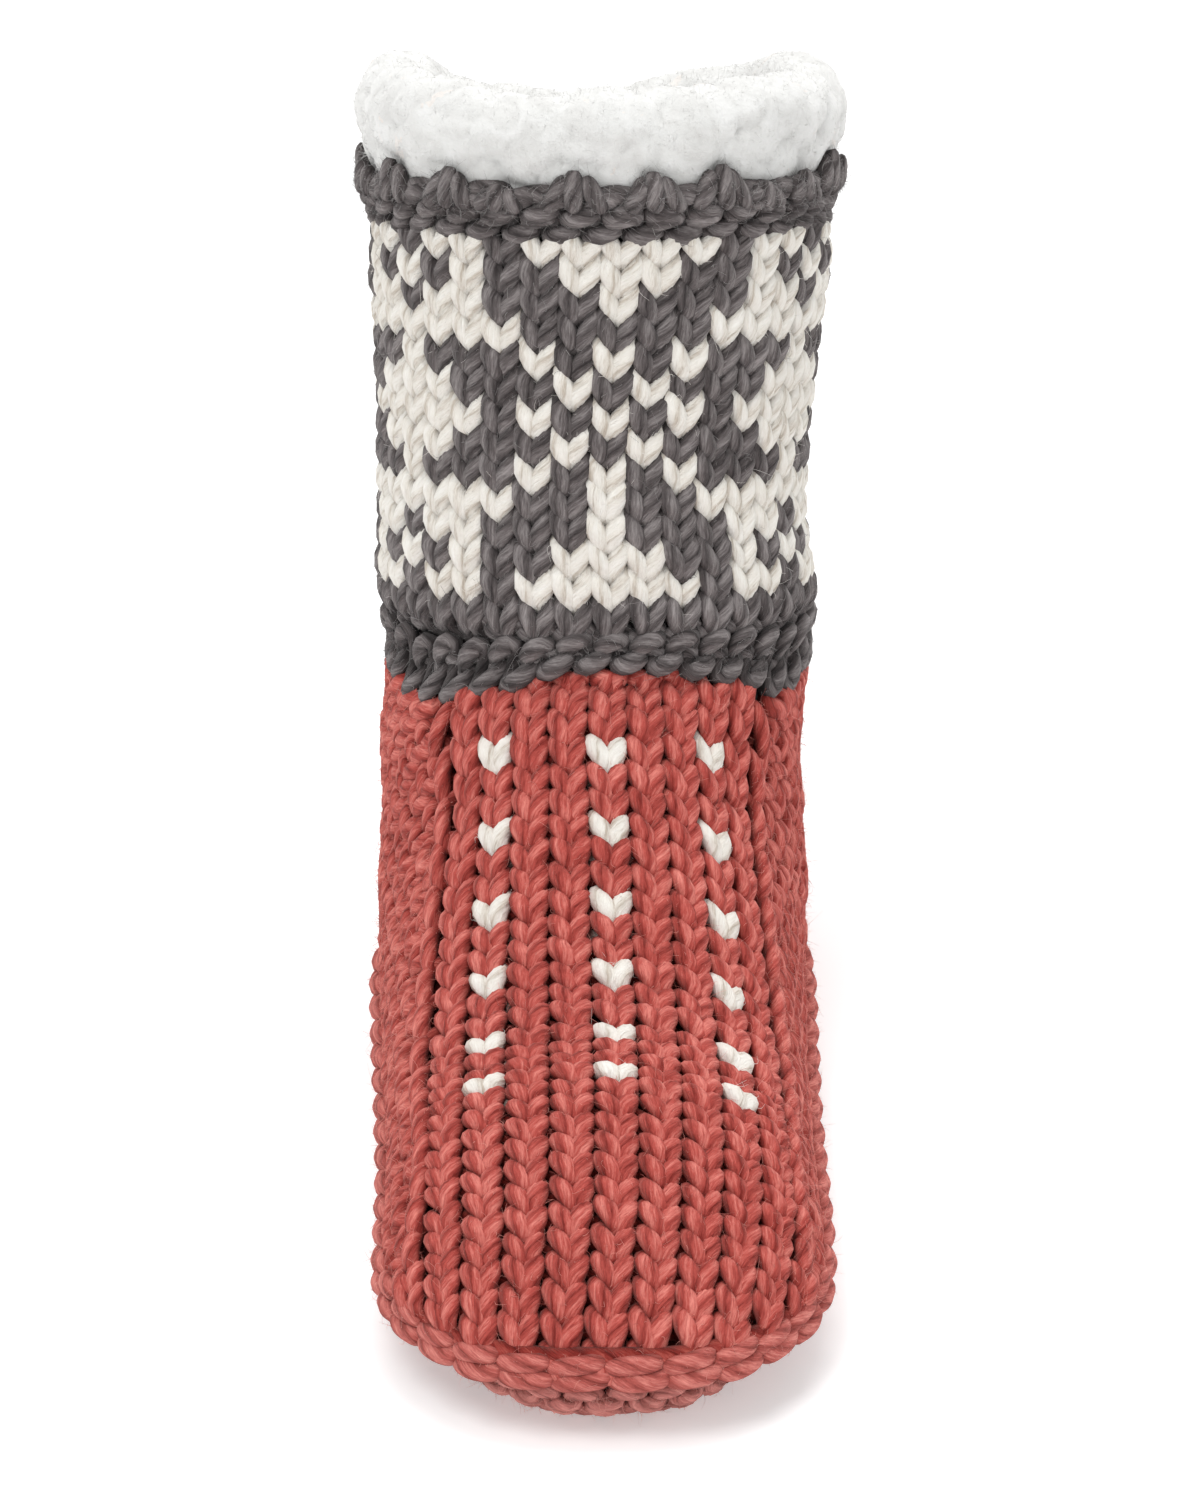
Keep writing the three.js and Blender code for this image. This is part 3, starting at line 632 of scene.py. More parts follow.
def band_at(s, v, out):
    """s runs round the band, 0 at the back and positive on +X; v up from the sole seam, in mm."""
    u = np.clip((1 - np.abs(s) / HALF), 0, 1) * (U_N - 1)
    i = np.clip(u.astype(int), 0, U_N - 2)
    a = (u - i)[..., None]
    tall = TALL[i] * (1 - a[..., 0]) + TALL[i + 1] * a[..., 0]
    vv = np.clip(v, 0, V_MAX - 1.01)
    j = vv.astype(int)
    b = (vv - j)[..., None]
    g = (BAND[i, j] * (1 - a) * (1 - b) + BAND[i + 1, j] * a * (1 - b)
         + BAND[i, j + 1] * (1 - a) * b + BAND[i + 1, j + 1] * a * b)
    sink = np.clip(v - tall, 0, 6) * 0.5
    below = np.clip(v, -6, 0)
    p, n = place(g[..., 0], g[..., 1] * np.where(s < 0, -1, 1), out - sink)
    p[..., 2] += below * 0.9
    return p, n


PITCH = 8.95
PER_SIDE = int(HALF // PITCH)
BAND_COUNT = 2 * PER_SIDE
groups = {"left": Yarns(), "heel": Yarns(), "right": Yarns()}
centres = (np.arange(BAND_COUNT) - PER_SIDE + 0.5) * PITCH
tall_at = band_height(centres)
for r in range(16):
    v0 = 3.4 + r * ROW

    def band_place(x, y, z, v0=v0):
        return band_at((x - PER_SIDE) * PITCH, v0 + y, z + MID)
    fits = v0 - 0.05 * ROW < tall_at
    zone = {"left": centres < -HEEL_HALF, "heel": np.abs(centres) <= HEEL_HALF, "right": centres > HEEL_HALF}
    for key, inside in zone.items():
        if (fits & inside).any():
            course(groups[key], BAND_COUNT, band_place, OVERLAP * ROW, 2.35, 1.3, mask=fits & inside,
                   seed=500 + r, fuzz=1.6 if key != "heel" else 1.0)

# ----- the line of picked-up stitches along the instep: slanted strands, and bridges between holes -----
pickup = {"left": Yarns(), "right": Yarns()}
HOLE_PITCH = 9.4
for side, key in ((-1, "left"), (1, "right")):
    rng = np.random.default_rng(40 + side)
    # painted shade: through level the slanted strands darken towards their ends, and the bridges under them are
    # painted darker with a low level and a low tone
    for f0 in np.arange(drop(0.85) + 5, 170, HOLE_PITCH):
        f0 = f0 + rng.uniform(-0.6, 0.6)
        edge = panel_share(f0) + 0.6 / length(f0)
        t = np.linspace(-1, 1, 16)
        f = f0 + 6.2 * t
        w = pick_out(f0) - 2.7 + 1.6 * t + rng.uniform(-0.2, 0.2)
        path, normal = place(f, side * (edge + w / length(f0)), -2.4 + 1.9 * (1 - t ** 2))
        pickup[key].add(path, normal, 2.25 * (1 - 0.5 * t ** 4), 0.0, rng.uniform(0.4, 0.8), fuzz=1.3,
                        level=1 - 0.6 * t ** 2)
        f = f0 - 5.4 + 1.2 * t
        w = 1.8 + 2.8 * t
        path, normal = place(f, side * (edge + w / length(f0)), -3.0 + 0.7 * (1 - t ** 2))
        pickup[key].add(path, normal, 1.8 * (1 - 0.4 * t ** 4), 0.0, rng.uniform(0.1, 0.4), fuzz=0.4, level=0.45)

# ----- sole seam: long doubled strands round the whole foot -----
fs = np.concatenate([np.linspace(TOE_F, SIDE_END, 60), np.linspace(SIDE_END, SOLE_BEND, 100)[1:],
                     HEEL_F + (SOLE_BEND - HEEL_F) * np.linspace(1, 0, 80)[1:] ** 2])
seam_line = np.array([(f, s) for f, s in zip(fs, seam_share(fs))])
seam_line[0, 1], seam_line[-1, 1] = 0, 1
half_pts, _ = place(seam_line[:, 0], seam_line[:, 1])
half_pts[0, 0] = half_pts[-1, 0] = 0
LOOP_N = 720
LOOP, LOOP_LEN = even_loop(np.concatenate([half_pts, half_pts[-2:0:-1] * [-1, 1, 1]]), LOOP_N)
LOOP = smooth_loop(LOOP, 3)
away = np.roll(LOOP, -6, 0) - np.roll(LOOP, 6, 0)
away = unit(np.stack([away[:, 1], -away[:, 0], 0 * away[:, 0]], 1))
toward = LOOP - np.stack([0 * LOOP[:, 0], np.clip(LOOP[:, 1], TOE_Y + 45, 75), 0 * LOOP[:, 0]], 1)
OUTWARD = away * np.sign((away * toward).sum(1, keepdims=True))


def loop_at(s, table):
    u = (s / LOOP_LEN % 1) * LOOP_N
    i = u.astype(int) % LOOP_N
    a = (u - u.astype(int))[..., None]
    return table[i] * (1 - a) + table[(i + 1) % LOOP_N] * a


seam = Yarns()
# a plain yarn behind the strands closes the gaps between them
behind = LOOP - OUTWARD * 3.4 + [0, 0, 1.6]
seam.add(behind, OUTWARD, 2.7, 0.0, 0.5, closed=True, fuzz=0.2, level=0.5)
SEAM_COUNT = 54
LANES = ((1.5, -1.6, 6.6, 0.9, 2.15), (-1.9, -1.0, 6.9, 0.5, 2.3))    # lift, push, half length, tilt, radius
rng = np.random.default_rng(61)
for k in range(SEAM_COUNT):
    s0 = (k + 0.5) * LOOP_LEN / SEAM_COUNT
    for lane, (lift, push, long, tilt, thick) in enumerate(LANES):
        t = np.linspace(-1, 1, 20)
        stagger = 1.2 + 4.7 * np.clip((loop_at(np.array([s0]), LOOP)[0, 1] + 130) / 35, 0, 1)
        s = s0 + long * t + stagger * lane + rng.uniform(-0.3, 0.3)
        p, o = loop_at(s, LOOP), loop_at(s, OUTWARD)
        bow = 1 - t ** 2
        flank = np.clip((p[:, 1] + 130) / 30, 0, 1)         # the strands stand out more along the sides
        p = p + o * (push + 0.9 * bow - 1.3 * t ** 4 + flank * (1.3 * bow - 0.3))[:, None]
        p[:, 2] += lift + tilt * t + rng.uniform(-0.3, 0.3) + 0.6 * (1 - bow) * (1 if lane else -1)
        # painted light and shade: a 4 % cream mix brightens the strands, and through level their ends are
        # painted darker
        seam.add(p, unit(o + [0, 0, 0.35]), thick * (1 - 0.6 * t ** 6), 0.04, rng.uniform(0.35, 0.7),
                 fuzz=1.2, level=0.95 - 0.7 * t ** 4)


# ----- sole: rows round its wall, then stitches along the flat -----
def corner(y):
    return 15 + 7 * np.clip((-y - 60) / 90, 0, 1)


SOLE_LIFT = 2.3             # height of the middle of the sole's yarns over the floor


def wall_at(s, v, out):
    """s runs round the sole seam, v is 0 under the seam and 1 where the sole lies flat."""
    p, o = loop_at(s, LOOP), loop_at(s, OUTWARD)
    a = np.clip(v, 0, 1.15) * math.pi / 2
    c = corner(p[..., 1])
    rim = p[..., 2] - 5.1
    inset = 9.0 * np.clip((-p[..., 1] - 95) / 35, 0, 1) * np.clip(np.abs(p[..., 0]) / 38, 0, 1) ** 2
    q = p + o * (0.3 - inset - c * (1 - np.cos(a)))[..., None]
    q[..., 2] = rim * (1 - np.sin(a))
    n = o * np.cos(a)[..., None]
    n[..., 2] = -np.sin(a)
    q = q + n * out[..., None]
    q[..., 2] = np.maximum(q[..., 2], SOLE_LIFT)
    return q, n


sole = Yarns(sides=8)
WALL_COUNT = 70
# painted light: the sole's wall gets a 12 % cream mix and light=0.5, which brighten it as light bounced off the
# floor would
for k, v in enumerate((0.12, 0.46, 0.80)):
    def sole_wall(x, y, z, v=v):
        return wall_at(x / WALL_COUNT * LOOP_LEN, v - y / 24.0, z - 2.2)
    course(sole, WALL_COUNT, sole_wall, 6.0, 2.1, 0.6, closed=True, purl=True, lean=0.16, plump=0.3,
           cream=np.full(WALL_COUNT, 0.12), seed=700 + k, shift=0.5 * (k % 2), fuzz=4.0, wobble=0.6, light=0.5)
outline = LOOP - OUTWARD * (corner(LOOP[:, 1]) - 3.0)[:, None]


def sole_half(y):
    side = outline[outline[:, 0] > 0]
    side = side[np.argsort(side[:, 1])]
    return np.interp(y, side[:, 1], side[:, 0], left=0, right=0)


SOLE_FRONT, SOLE_BACK = outline[:, 1].min() + 3, outline[:, 1].max() - 3
SOLE_PITCH, SOLE_COLUMNS = 8.9, 10
for r in range(int((SOLE_BACK - SOLE_FRONT) // ROW) + 1):
    y0 = SOLE_FRONT + r * ROW
    cols = np.arange(SOLE_COLUMNS) - SOLE_COLUMNS / 2 + 0.5
    half = min(sole_half(y0 - 3), sole_half(y0 + 3))
    mask = np.abs(cols) * SOLE_PITCH < half - 2

    def flat_place(x, y, z, y0=y0):
        q = np.stack([(x - SOLE_COLUMNS / 2) * SOLE_PITCH, y0 + y, np.maximum(SOLE_LIFT - z * 0.7, 1.75)], -1)
        n = np.zeros_like(q)
        n[..., 2] = -1
        return q, n
    if mask.any():
        course(sole, SOLE_COLUMNS, flat_place, 1.7 * ROW, 2.0, 1.0, mask=mask, seed=800 + r, fuzz=0.1,
               squash=0.8)


# ---------- backing cloths: one thin layer behind each panel of stitches, dark with painted shade ---
BACK = -4.6                 # depth of the cloths under the skin


def cloth(name, p, wrap=False):
    """An open sheet through a grid of points."""
    return mesh_object(name, p.reshape(-1, 3), grid_faces(grid_index(*p.shape[:2], wrap)))


def ankle_tube(count, under, over):
    """f and share of a tube of 14 rows from under the dropped ankle edge to over the ridges."""
    turns = np.arange(count) / (count / 2) - 1
    low = -drop(np.abs(turns) * math.pi)[None] - under
    up = np.linspace(0, 1, 14)[:, None]
    return -(low + (BAND_H + over - low) * up), turns[None] + 0 * up


def leg_tube(count, low, high):
    """f and share of a tube of 60 rows on the leg."""
    hs = np.linspace(low, high, 60)[:, None]
    turns = np.arange(count) / (count / 2) - 1
    return -hs + 0 * turns[None], turns[None] + 0 * hs


def shrunk(rim, share, z):
    """A flat copy of a rim of the sole, drawn in towards the middle line."""
    mid = np.stack([0 * rim[:, 0], np.clip(rim[:, 1], TOE_Y + 70, 60), 0 * rim[:, 0]], 1)
    q = mid + (rim - mid) * share
    q[:, 2] = z
    return q


f, share = leg_tube(144, BAND_H - 1, LEG_H - 1)
leg_cloth = cloth("leg_cloth", place(f, share, BACK + bulge(-f))[0], wrap=True)
f, share = ankle_tube(144, 0, 0.5)
ankle_cloth = cloth("ankle_cloth", place(f, share, BACK + 0.4)[0], wrap=True)
fs = np.linspace(1, 187, 90)[:, None]
xs = np.linspace(-1, 1, 41)[None]
wide = np.minimum(panel_share(fs) + 8.5 / length(fs), seam_share(fs))
instep_cloth = cloth("instep_cloth", place(np.maximum(fs, drop(xs * 0.78) - 2), xs * wide, BACK)[0])
BAND_NAMES = {"left": "side_cloth_left", "heel": "heel_cloth", "right": "side_cloth_right"}
band_cloths = {}
for key, s0, s1 in (("left", -HALF, -HEEL_HALF), ("heel", -HEEL_HALF, HEEL_HALF), ("right", HEEL_HALF, HALF)):
    s = np.linspace(s0, s1, int(abs(s1 - s0) / 3))[None]
    v = np.linspace(0, 1, 30)[:, None] * band_height(s)
    band_cloths[key] = cloth(BAND_NAMES[key], band_at(s + 0 * v, v, np.full(v.shape, BACK))[0])
s = np.linspace(0, LOOP_LEN, 240, endpoint=False)
rows = [loop_at(s, LOOP) - loop_at(s, OUTWARD) * 4.2 - [0, 0, 0.5]]
rows += [wall_at(s, np.full(s.shape, v), np.full(s.shape, -4.4))[0] for v in np.linspace(0.02, 1, 12)]
rows += [shrunk(rows[-1], share, 4.4) for share in (0.75, 0.5, 0.25, 0.03)]
sole_cloth = cloth("sole_cloth", np.stack(rows), wrap=True)


# ---------- fleece ----------
def lumps(points, seeds, radius, seed):
    """Heights 0 to 1 of round tufts scattered over the points."""
    rng = np.random.default_rng(seed)
    pick = rng.choice(len(points), min(seeds, len(points)), replace=False)
    tree = KDTree(len(pick))
    for i, p in enumerate(points[pick]):
        tree.insert(p, i)
    tree.balance()
    d = np.array([tree.find(p)[2] for p in points])
    return np.sqrt(np.clip(1 - (d / radius) ** 2, 0, 1))


def closed_faces(rows, cols, wrap):
    """Faces of two stacked grids joined round their edges."""
    n = rows * cols
    i = grid_index(rows, cols, wrap)

    def strip(a, b):
        return np.stack([a[:-1], a[1:], b[1:], b[:-1]], -1)
    out = [grid_faces(i), grid_faces(i, turned=True) + n,
           strip(i[0], i[0] + n)[:, ::-1], strip(i[-1], i[-1] + n)]
    if not wrap:
        out += [strip(i[:, 0], i[:, 0] + n), strip(i[:, -1], i[:, -1] + n)[:, ::-1]]
    return np.concatenate(out)


NEAR, FAR, TUFT = 7.0, 13.0, 2.6        # depths of the lining's two faces, height of its tufts


def fleece(name, f, share, seed, wrap=False):
    """A pile lining between two depths whose inner face is tufted."""
    outer, _ = place(f, share, -NEAR)
    base, n = place(f, share, -(FAR - 1.2))
    flat, inward = base.reshape(-1, 3), -n.reshape(-1, 3)
    tufts = max(60, int(len(flat) / 6.5))
    bump = lumps(flat, tufts, 6.5, seed) * 0.65 + lumps(flat, 3 * tufts, 3.25, seed + 1) * 0.35
    inner = flat + inward * ((bump - 0.35) * TUFT)[:, None]
    ob = mesh_object(name, np.concatenate([outer.reshape(-1, 3), inner]), closed_faces(*f.shape, wrap))
    return ob, inner, inward


leg_fleece, leg_in, leg_in_n = fleece("leg_fleece", *leg_tube(180, BAND_H + 0.4, LEG_H - 8), 1, wrap=True)
ankle_fleece, _, _ = fleece("ankle_fleece", *ankle_tube(180, 1.2, -0.1), 2, wrap=True)
foot_fleece = {}
CUT = 0.6                   # half the gap between the two halves of the lining
for side, key in ((-1, "left"), (1, "right")):
    fs = np.concatenate([np.linspace(3, 46, 44), np.linspace(47.5, 169, 80)])[:, None]
    start, back = CUT / length(fs), 1 - CUT / length(fs)
    end = np.where(fs < HEEL_F, back, np.minimum(seam_share(fs) - 7 / length(fs), back))
    share = start + (end - start) * np.linspace(0, 1, 60)[None]
    g = np.maximum(fs, drop(share * math.pi) + 1.2 + fs * 0.3)
    share = np.minimum(share, np.where(g < HEEL_F, 1 - CUT / length(g), seam_share(g) - 6 / length(g)))
    foot_fleece[key], _, _ = fleece("foot_fleece_" + key, g, side * share, 3 + side)

# collar: a thick tufted roll
SECTION = np.array([[106.6, 6.4], [109, 3.8], [114, 1.8], [120, 0.4], [126, 0.4], [130.4, 2.4], [133, 6.4],
                    [132.4, 11], [129, 15], [124, 17], [116, 17.5], [108, 16], [104.3, 13.6], [104.3, 8.4],
                    [105, 7]])          # height on the leg, depth under the skin
section = smooth_loop(even_loop(SECTION, 96)[0], 4)
ROUND, DIP_FROM, COLLAR_TUFT = 300, 112.0, 7.0
turns = np.arange(ROUND) / (ROUND / 2) - 1
facing = np.cos(turns * math.pi)            # 1 in front, -1 behind
hh = section[:, :1] + np.zeros((1, ROUND))
rim_wave = 1.6 * np.sin(3 * math.pi * turns + 0.8) + 1.1 * np.sin(7 * math.pi * turns + 2.1)
dip = np.where(facing > 0, DIP_FRONT, DIP_BACK) * np.abs(facing) ** 1.6
hh = hh + (rim_wave - dip) * np.clip((hh - DIP_FROM) / (COLLAR_TOP - DIP_FROM), 0, 1)
p, _ = place(-hh, turns[None] + 0 * hh, -section[:, 1:])
normal = unit(np.cross(np.roll(p, -1, 1) - np.roll(p, 1, 1), np.roll(p, -1, 0) - np.roll(p, 1, 0)))
normal *= np.sign((normal * (p - p.mean(0, keepdims=True))).sum(-1).mean())
flat, collar_n = p.reshape(-1, 3), normal.reshape(-1, 3)
bump = lumps(flat, 520, 8.5, 21) * 0.62 + lumps(flat, 1900, 4.6, 22) * 0.3 + lumps(flat, 7000, 2.4, 23) * 0.08
collar_pts = flat + collar_n * ((bump - 0.5) * COLLAR_TUFT)[:, None]
collar = mesh_object("collar_fleece", collar_pts,
                     grid_faces(grid_index(*p.shape[:2], wrap=True, wrap_rows=True), turned=True))


# insole: a soft pad with the same pile, from the middle of its underside over its rim to the middle on top
PAD_LOW, PAD_TOP = 6.1, 12.6
RIM = ((20, PAD_LOW), (15.8, 7.2), (14.8, 9.4), (16, 11.4), (19, 12.4), (24, PAD_TOP), (30, PAD_TOP))
rows = []
for inset, z in RIM:
    q = loop_at(s, LOOP) - loop_at(s, OUTWARD) * inset
    q[:, 2] = z
    rows.append(q)
p = np.stack([shrunk(rows[0], share, PAD_LOW) for share in (0.02, 0.5)] + rows
             + [shrunk(rows[-1], share, PAD_TOP) for share in (0.8, 0.6, 0.4, 0.2, 0.02)])
flat = p.reshape(-1, 3)
top = flat[:, 2] > 11
flat[top, 2] += (lumps(flat[top], 500, 6, 31) - 0.5) * 1.6
i = grid_index(*p.shape[:2])
insole = mesh_object("insole_fleece", flat,
                     [grid_faces(grid_index(*p.shape[:2], wrap=True)), i[:1, ::-1], i[-1:]])


def pile(name, base, normal, number, size, seed, thick):
    """Curled pile fibres on a fleece surface."""
    along = unit(np.cross(normal, np.random.default_rng(seed).normal(0, 1, normal.shape)))
    roots = Yarns()
    roots.spots.append((base, normal, along, np.zeros(len(base)), np.ones(len(base))))
    return fibres(name, [roots], number, size, seed, thick)


collar_pile = pile("collar_pile", collar_pts, collar_n, 12000, (0.6, 2.2), 71, 0.06)
near_top = leg_in[:, 2] > 150       # further down nobody sees it
leg_pile = pile("leg_pile", leg_in[near_top], leg_in_n[near_top], 3000, (1.5, 3.6), 72, 0.08)

leg_knit = leg.build("leg_stitches")
roll_knit = roll.build("top_roll")
ankle_knit = ankle.build("ankle_stitches")
instep_knit = instep.build("instep_stitches")
STITCH_NAMES = {"left": "side_stitches_left", "heel": "heel_stitches", "right": "side_stitches_right"}
band_knit = {k: g.build(STITCH_NAMES[k]) for k, g in groups.items()}
pickup_knit = {k: g.build("pickup_strands_" + k) for k, g in pickup.items()}
seam_knit = seam.build("seam_strands")
sole_knit = sole.build("sole_stitches")
leg_fuzz = fibres("leg_fuzz", [leg], 12000, (0.6, 2.8), 81)
roll_fuzz = fibres("roll_fuzz", [roll], 9000, (0.6, 2.8), 82)
ankle_fuzz = fibres("ankle_fuzz", [ankle], 5000, (0.6, 2.6), 83)
foot_fuzz = fibres("foot_fuzz", [instep, groups["heel"], *pickup.values()], 13000, (0.6, 2.8), 84)
side_fuzz = fibres("side_fuzz", [groups["left"], groups["right"]], 14000, (0.6, 3.0), 85)
# the sole and seam fibres take the cream mix of their yarns, so they carry the same painted light
sole_fuzz = fibres("sole_fuzz", [seam, sole], 11000, (0.6, 2.6), 86)


# ---------- materials ----------
def node(tree, kind, **values):
    n = tree.nodes.new(kind)
    for k, v in values.items():
        if hasattr(n, k):
            setattr(n, k, v)
        else:
            n.inputs[k.replace("_", " ")].default_value = v
    return n


def link(tree, a, b):
    tree.links.new(a, b)


def ramp(tree, fac, stops):
    n = tree.nodes.new("ShaderNodeValToRGB")
    while len(n.color_ramp.elements) < len(stops):
        n.color_ramp.elements.new(0.5)
    for e, (at, colour) in zip(n.color_ramp.elements, stops):
        e.position, e.color = at, (*colour, 1)
    link(tree, fac, n.inputs[0])
    return n.outputs[0]


def mixed(tree, fac, a, b, mode="MIX"):
    n = tree.nodes.new("ShaderNodeMix")
    n.data_type, n.blend_type = "RGBA", mode
    for socket, value in ((n.inputs[0], fac), (n.inputs[6], a), (n.inputs[7], b)):
        if isinstance(value, (int, float)):
            socket.default_value = value
        elif isinstance(value, tuple):
            socket.default_value = (*value, 1)
        else:
            link(tree, value, socket)
    return n.outputs[2]


def math_node(tree, op, a, b=None, c=None):
    n = tree.nodes.new("ShaderNodeMath")
    n.operation = op
    for socket, value in zip(n.inputs, (a, b, c)):
        if value is None:
            continue
        if isinstance(value, (int, float)):
            socket.default_value = value
        else:
            link(tree, value, socket)
    return n.outputs[0]


def attribute(tree, name):
    return node(tree, "ShaderNodeAttribute", attribute_name=name).outputs["Fac"]


def object_place(tree):
    return node(tree, "ShaderNodeTexCoord").outputs["Object"]


def noise(tree, at, scale, detail, roughness=0.5, distortion=0.0):
    n = node(tree, "ShaderNodeTexNoise", Scale=scale, Detail=detail, Roughness=roughness,
             Distortion=distortion)
    link(tree, at, n.inputs["Vector"])
    return n.outputs["Fac"]


def bumped(tree, shader, height, strength, distance):
    bump = node(tree, "ShaderNodeBump", Strength=strength, Distance=distance)
    link(tree, height, bump.inputs["Height"])
    link(tree, bump.outputs[0], shader.inputs["Normal"])


def base_material(name, roughness, sheen, tint, sheen_rough=0.45):
    m = bpy.data.materials.new(name)
    m.use_nodes = True
    shader = m.node_tree.nodes["Principled BSDF"]
    shader.inputs["Roughness"].default_value = roughness
    shader.inputs["Sheen Weight"].default_value = sheen
    shader.inputs["Sheen Roughness"].default_value = sheen_rough
    shader.inputs["Sheen Tint"].default_value = (*tint, 1)
    shader.inputs["Specular IOR Level"].default_value = 0.18
    return m, m.node_tree, shader


PLIES, PLY_TWIST = 3, 7.0       # plies of the yarn, and mm of yarn from one ply to the next


def yarn_material(name, dark, mid, light, tint, shadow):
    """Wool: fibres that twist along the yarn, plies, per-stitch tone, cream where the pattern says, and painted
    shade and highlight.
    """
    m, t, shader = base_material(name, 0.88, 0.16, tint)
    at = node(t, "ShaderNodeAttribute", attribute_name="yarn")
    sep = node(t, "ShaderNodeSeparateXYZ")
    link(t, at.outputs["Vector"], sep.inputs[0])
    along, round_it = sep.outputs[0], sep.outputs[1]
    turn = math_node(t, "ADD", round_it, math_node(t, "DIVIDE", along, PLY_TWIST * PLIES))
    angle = math_node(t, "MULTIPLY", turn, 2 * math.pi)
    co = node(t, "ShaderNodeCombineXYZ")
    link(t, math_node(t, "COSINE", angle), co.inputs[0])
    link(t, math_node(t, "SINE", angle), co.inputs[1])
    link(t, math_node(t, "MULTIPLY", along, 0.10), co.inputs[2])
    strands = noise(t, co.outputs[0], 3.4, 4.0, 0.7)
    ply = math_node(t, "COSINE", math_node(t, "MULTIPLY", angle, float(PLIES)))
    ply = math_node(t, "POWER", math_node(t, "MULTIPLY", math_node(t, "ADD", ply, 1.0), 0.5), 0.45)
    at = object_place(t)
    # the colour level mixes the fibres' own streaky tone with painted shade in the grooves between plies and, at
    # the ramp's light end, painted highlight on the fibre streaks
    level = math_node(t, "MULTIPLY_ADD", strands, 1.25, -0.64)
    level = math_node(t, "MULTIPLY_ADD", ply, 0.4, level)
    level = math_node(t, "MULTIPLY_ADD", noise(t, at, 38.0, 3.0, 0.55), 0.3, level)
    level = math_node(t, "MULTIPLY_ADD", attribute(t, "tone"), 0.2, level)
    colour = ramp(t, level, [(0.12, dark), (0.5, mid), (0.92, light)])
    which = attribute(t, "cream")
    colour = mixed(t, which, colour, ramp(t, level, [(0.1, CREAM[0]), (0.45, CREAM[1]), (0.9, CREAM[2])]))
    # painted shade: the colour is multiplied darker where deep is low, with 40 % of the effect on cream yarn
    deepest = tuple(0.25 * v for v in shadow)
    shade = ramp(t, attribute(t, "deep"), [(0.04, deepest), (0.5, shadow), (0.85, (1, 1, 1))])
    colour = mixed(t, math_node(t, "MULTIPLY_ADD", which, -0.6, 1.0), colour, shade, "MULTIPLY")
    link(t, colour, shader.inputs["Base Color"])
    height = math_node(t, "ADD", math_node(t, "MULTIPLY", ply, 0.8), math_node(t, "MULTIPLY", strands, 1.2))
    height = math_node(t, "MULTIPLY_ADD", noise(t, at, 900.0, 2.0, 0.6), 0.25, height)
    bumped(t, shader, height, 0.9, 0.0007)
    link(t, math_node(t, "MULTIPLY_ADD", strands, 0.2, 0.75), shader.inputs["Roughness"])
    return m


def fibre_material(name, dark, light, cream, tint):
    m, t, shader = base_material(name, 0.85, 0.3, tint)
    colour = ramp(t, attribute(t, "tone"), [(0, dark), (1, light)])
    if cream:
        colour = mixed(t, attribute(t, "cream"), colour, cream)
    link(t, colour, shader.inputs["Base Color"])
    return m


def cloth_material(name, dark, light):
    """The inside of the fabric, seen between stitches, painted dark as its shade."""
    m, t, shader = base_material(name, 0.95, 0.1, light)
    weave = noise(t, object_place(t), 420.0, 3.0)
    link(t, ramp(t, weave, [(0.35, dark), (0.7, light)]), shader.inputs["Base Color"])
    bumped(t, shader, weave, 0.6, 0.0006)
    return m


def fleece_material(name, dark, mid, light):
    """Curly pile in clumps, with a few warmer flecks; the hollows between clumps are painted darker as shade."""
    m, t, shader = base_material(name, 0.95, 0.5, (1.0, 0.99, 0.97), 0.6)
    at = object_place(t)
    clumps, curls = noise(t, at, 130.0, 4.0, 0.55, 0.8), noise(t, at, 650.0, 3.0, 0.7, 1.6)
    fleck = math_node(t, "GREATER_THAN", noise(t, at, 55.0, 4.0, 0.65, 2.2), 0.66)
    # painted shade: the colour follows the same clumps noise as the bump, darker in the hollows
    colour = ramp(t, clumps, [(0.25, dark), (0.5, mid), (0.7, light)])
    colour = mixed(t, math_node(t, "MULTIPLY", fleck, 0.22), colour, (0.92, 0.76, 0.66))
    link(t, colour, shader.inputs["Base Color"])
    bumped(t, shader, math_node(t, "MULTIPLY_ADD", curls, 0.5, clumps), 0.5, 0.0012)
    shader.inputs["Subsurface Weight"].default_value = 0.25
    shader.inputs["Subsurface Radius"].default_value = (0.004, 0.004, 0.004)
    shader.inputs["Subsurface Scale"].default_value = 1.0
    return m


# the dark ends of these yarn colours are partly painted shade and the light ends partly painted highlight
CREAM = ((0.55, 0.48, 0.40), (0.83, 0.79, 0.72), (0.95, 0.93, 0.88))
coral_wool = yarn_material("coral_wool", (0.21, 0.019, 0.014), (0.485, 0.081, 0.065), (0.85, 0.285, 0.235),
                           tint=(1.0, 0.62, 0.55), shadow=(0.50, 0.27, 0.24))
grey_wool = yarn_material("grey_wool", (0.034, 0.028, 0.028), (0.125, 0.108, 0.107), (0.34, 0.31, 0.305),
                          tint=(0.9, 0.88, 0.86), shadow=(0.38, 0.36, 0.36))
coral_lint = fibre_material("coral_lint", (0.45, 0.09, 0.07), (0.85, 0.36, 0.30), (0.9, 0.85, 0.8),
                            (1, 0.8, 0.75))
grey_lint = fibre_material("grey_lint", (0.08, 0.075, 0.075), (0.42, 0.40, 0.39), (0.92, 0.88, 0.83),
                           (0.9, 0.9, 0.9))
white_lint = fibre_material("white_lint", (0.70, 0.69, 0.67), (0.80, 0.80, 0.79), None, (1, 1, 1))
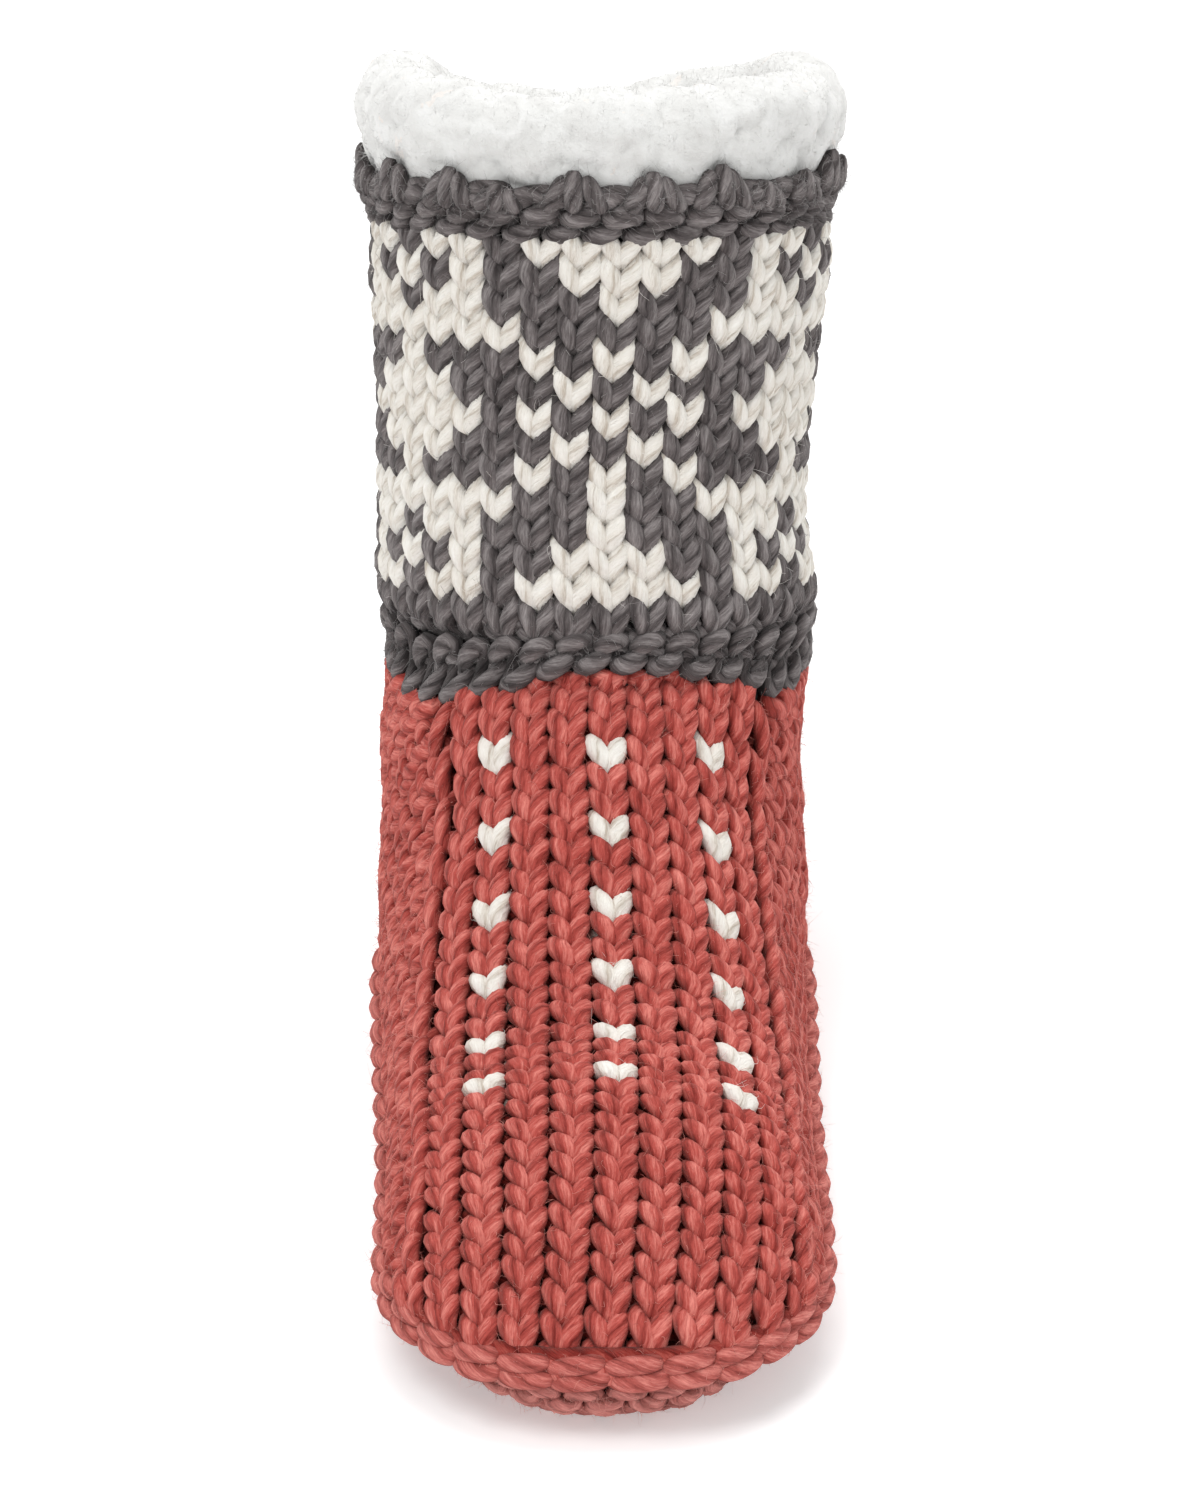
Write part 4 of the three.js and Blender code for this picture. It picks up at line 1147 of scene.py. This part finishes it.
# painted shade: the backing cloths are coloured far darker than the yarn, as the shade between stitches
coral_inside_painted_shade = cloth_material("coral_inside_painted_shade", (0.05, 0.006, 0.005), (0.12, 0.016, 0.013))
grey_inside_painted_shade = cloth_material("grey_inside_painted_shade", (0.02, 0.018, 0.018), (0.06, 0.055, 0.052))
sherpa = fleece_material("sherpa", (0.59, 0.585, 0.57), (0.68, 0.68, 0.665), (0.74, 0.74, 0.73))
sherpa_inside = fleece_material("sherpa_inside", (0.68, 0.64, 0.58), (0.82, 0.79, 0.74), (0.88, 0.86, 0.83))

coral_knits = (instep_knit, *band_knit.values(), *pickup_knit.values(), seam_knit, sole_knit)
coral_cloths = (instep_cloth, *band_cloths.values(), sole_cloth)
coral_fuzz = (foot_fuzz, side_fuzz, sole_fuzz)
foot_lining = (*foot_fleece.values(), insole)
for obs, mat in ((coral_knits, coral_wool), (coral_fuzz, coral_lint), (coral_cloths, coral_inside_painted_shade),
                 ((leg_knit, roll_knit, ankle_knit), grey_wool),
                 ((leg_fuzz, roll_fuzz, ankle_fuzz), grey_lint),
                 ((leg_cloth, ankle_cloth), grey_inside_painted_shade), ((collar_pile, leg_pile), white_lint),
                 ((collar,), sherpa), ((leg_fleece, ankle_fleece, *foot_lining), sherpa_inside)):
    for ob in obs:
        ob.data.materials.append(mat)

# ---------- what rides on what ----------
for ob in (leg_cloth, leg_knit, roll_knit, leg_fuzz, roll_fuzz, collar, collar_pile, leg_fleece, leg_pile):
    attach(ob, "leg")
for ob in (*coral_cloths, *coral_knits, *coral_fuzz, *foot_lining):
    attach(ob, "foot")
for ob in (ankle_cloth, ankle_knit, ankle_fuzz, ankle_fleece):
    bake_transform(ob)

for ob, node_name in ((leg_cloth, "cuff_knit"), (roll_knit, "cuff_top_edge"), (collar, "collar_sherpa"),
                      (leg_fleece, "leg_lining"), (ankle_cloth, "ankle_edge"), (ankle_fleece, "ankle_lining"),
                      (instep_cloth, "instep_panel"), (pickup_knit["left"], "pickup_seam_left"),
                      (pickup_knit["right"], "pickup_seam_right"), (band_cloths["left"], "side_panel_left"),
                      (band_cloths["right"], "side_panel_right"), (band_cloths["heel"], "heel_panel"),
                      (seam_knit, "sole_seam"), (sole_cloth, "sole_knit"), (insole, "insole"),
                      (foot_fleece["left"], "foot_lining_left"), (foot_fleece["right"], "foot_lining_right")):
    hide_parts(node_name)

# ---------- stage, light and camera ----------
scene = bpy.context.scene
bpy.ops.mesh.primitive_plane_add(size=12, location=(0, 0, 0))
floor = bpy.context.object
floor.name = "floor"
floor_m, _, floor_s = base_material("pale_floor", 0.9, 0.0, (1, 1, 1))
floor_s.inputs["Base Color"].default_value = (0.80, 0.80, 0.80, 1)
floor_s.inputs["Emission Color"].default_value = (1, 1, 1, 1)
floor_s.inputs["Emission Strength"].default_value = 0.34
floor.data.materials.append(floor_m)

world = bpy.data.worlds.new("studio") if scene.world is None else scene.world
scene.world = world
world.use_nodes = True
world.node_tree.nodes["Background"].inputs[0].default_value = (1, 1, 1, 1)
world.node_tree.nodes["Background"].inputs[1].default_value = 0.62


def aim(ob, at, to):
    ob.location = at
    ob.rotation_euler = (Vector(to) - Vector(at)).to_track_quat("-Z", "Y").to_euler()


def area_light(name, at, to, size, power):
    data = bpy.data.lights.new(name, "AREA")
    data.shape, data.size, data.energy = "SQUARE", size, power
    ob = bpy.data.objects.new(name, data)
    scene.collection.objects.link(ob)
    aim(ob, at, to)


area_light("key", (-0.6, -0.7, 1.6), (0, 0, 0.08), 0.8, 12)
area_light("fill", (1.3, -0.8, 0.9), (0, 0, 0.08), 1.0, 3.5)
area_light("top", (0, 0.4, 1.9), (0, 0, 0.1), 1.2, 14)
area_light("back", (0.4, 1.6, 1.1), (0, 0, 0.1), 1.2, 8)

scene.view_settings.view_transform = "Standard"
camera_data = bpy.data.cameras.new("camera")
camera_data.sensor_fit = "VERTICAL"
camera_data.sensor_height = 24
camera_data.sensor_width = 19.2
camera_data.lens = 107.9
camera = bpy.data.objects.new("camera", camera_data)
scene.collection.objects.link(camera)
aim(camera, (0, -1.3547, 0.7379), (0, -0.0018, 0.0899))
scene.camera = camera

bpy.context.view_layer.update()
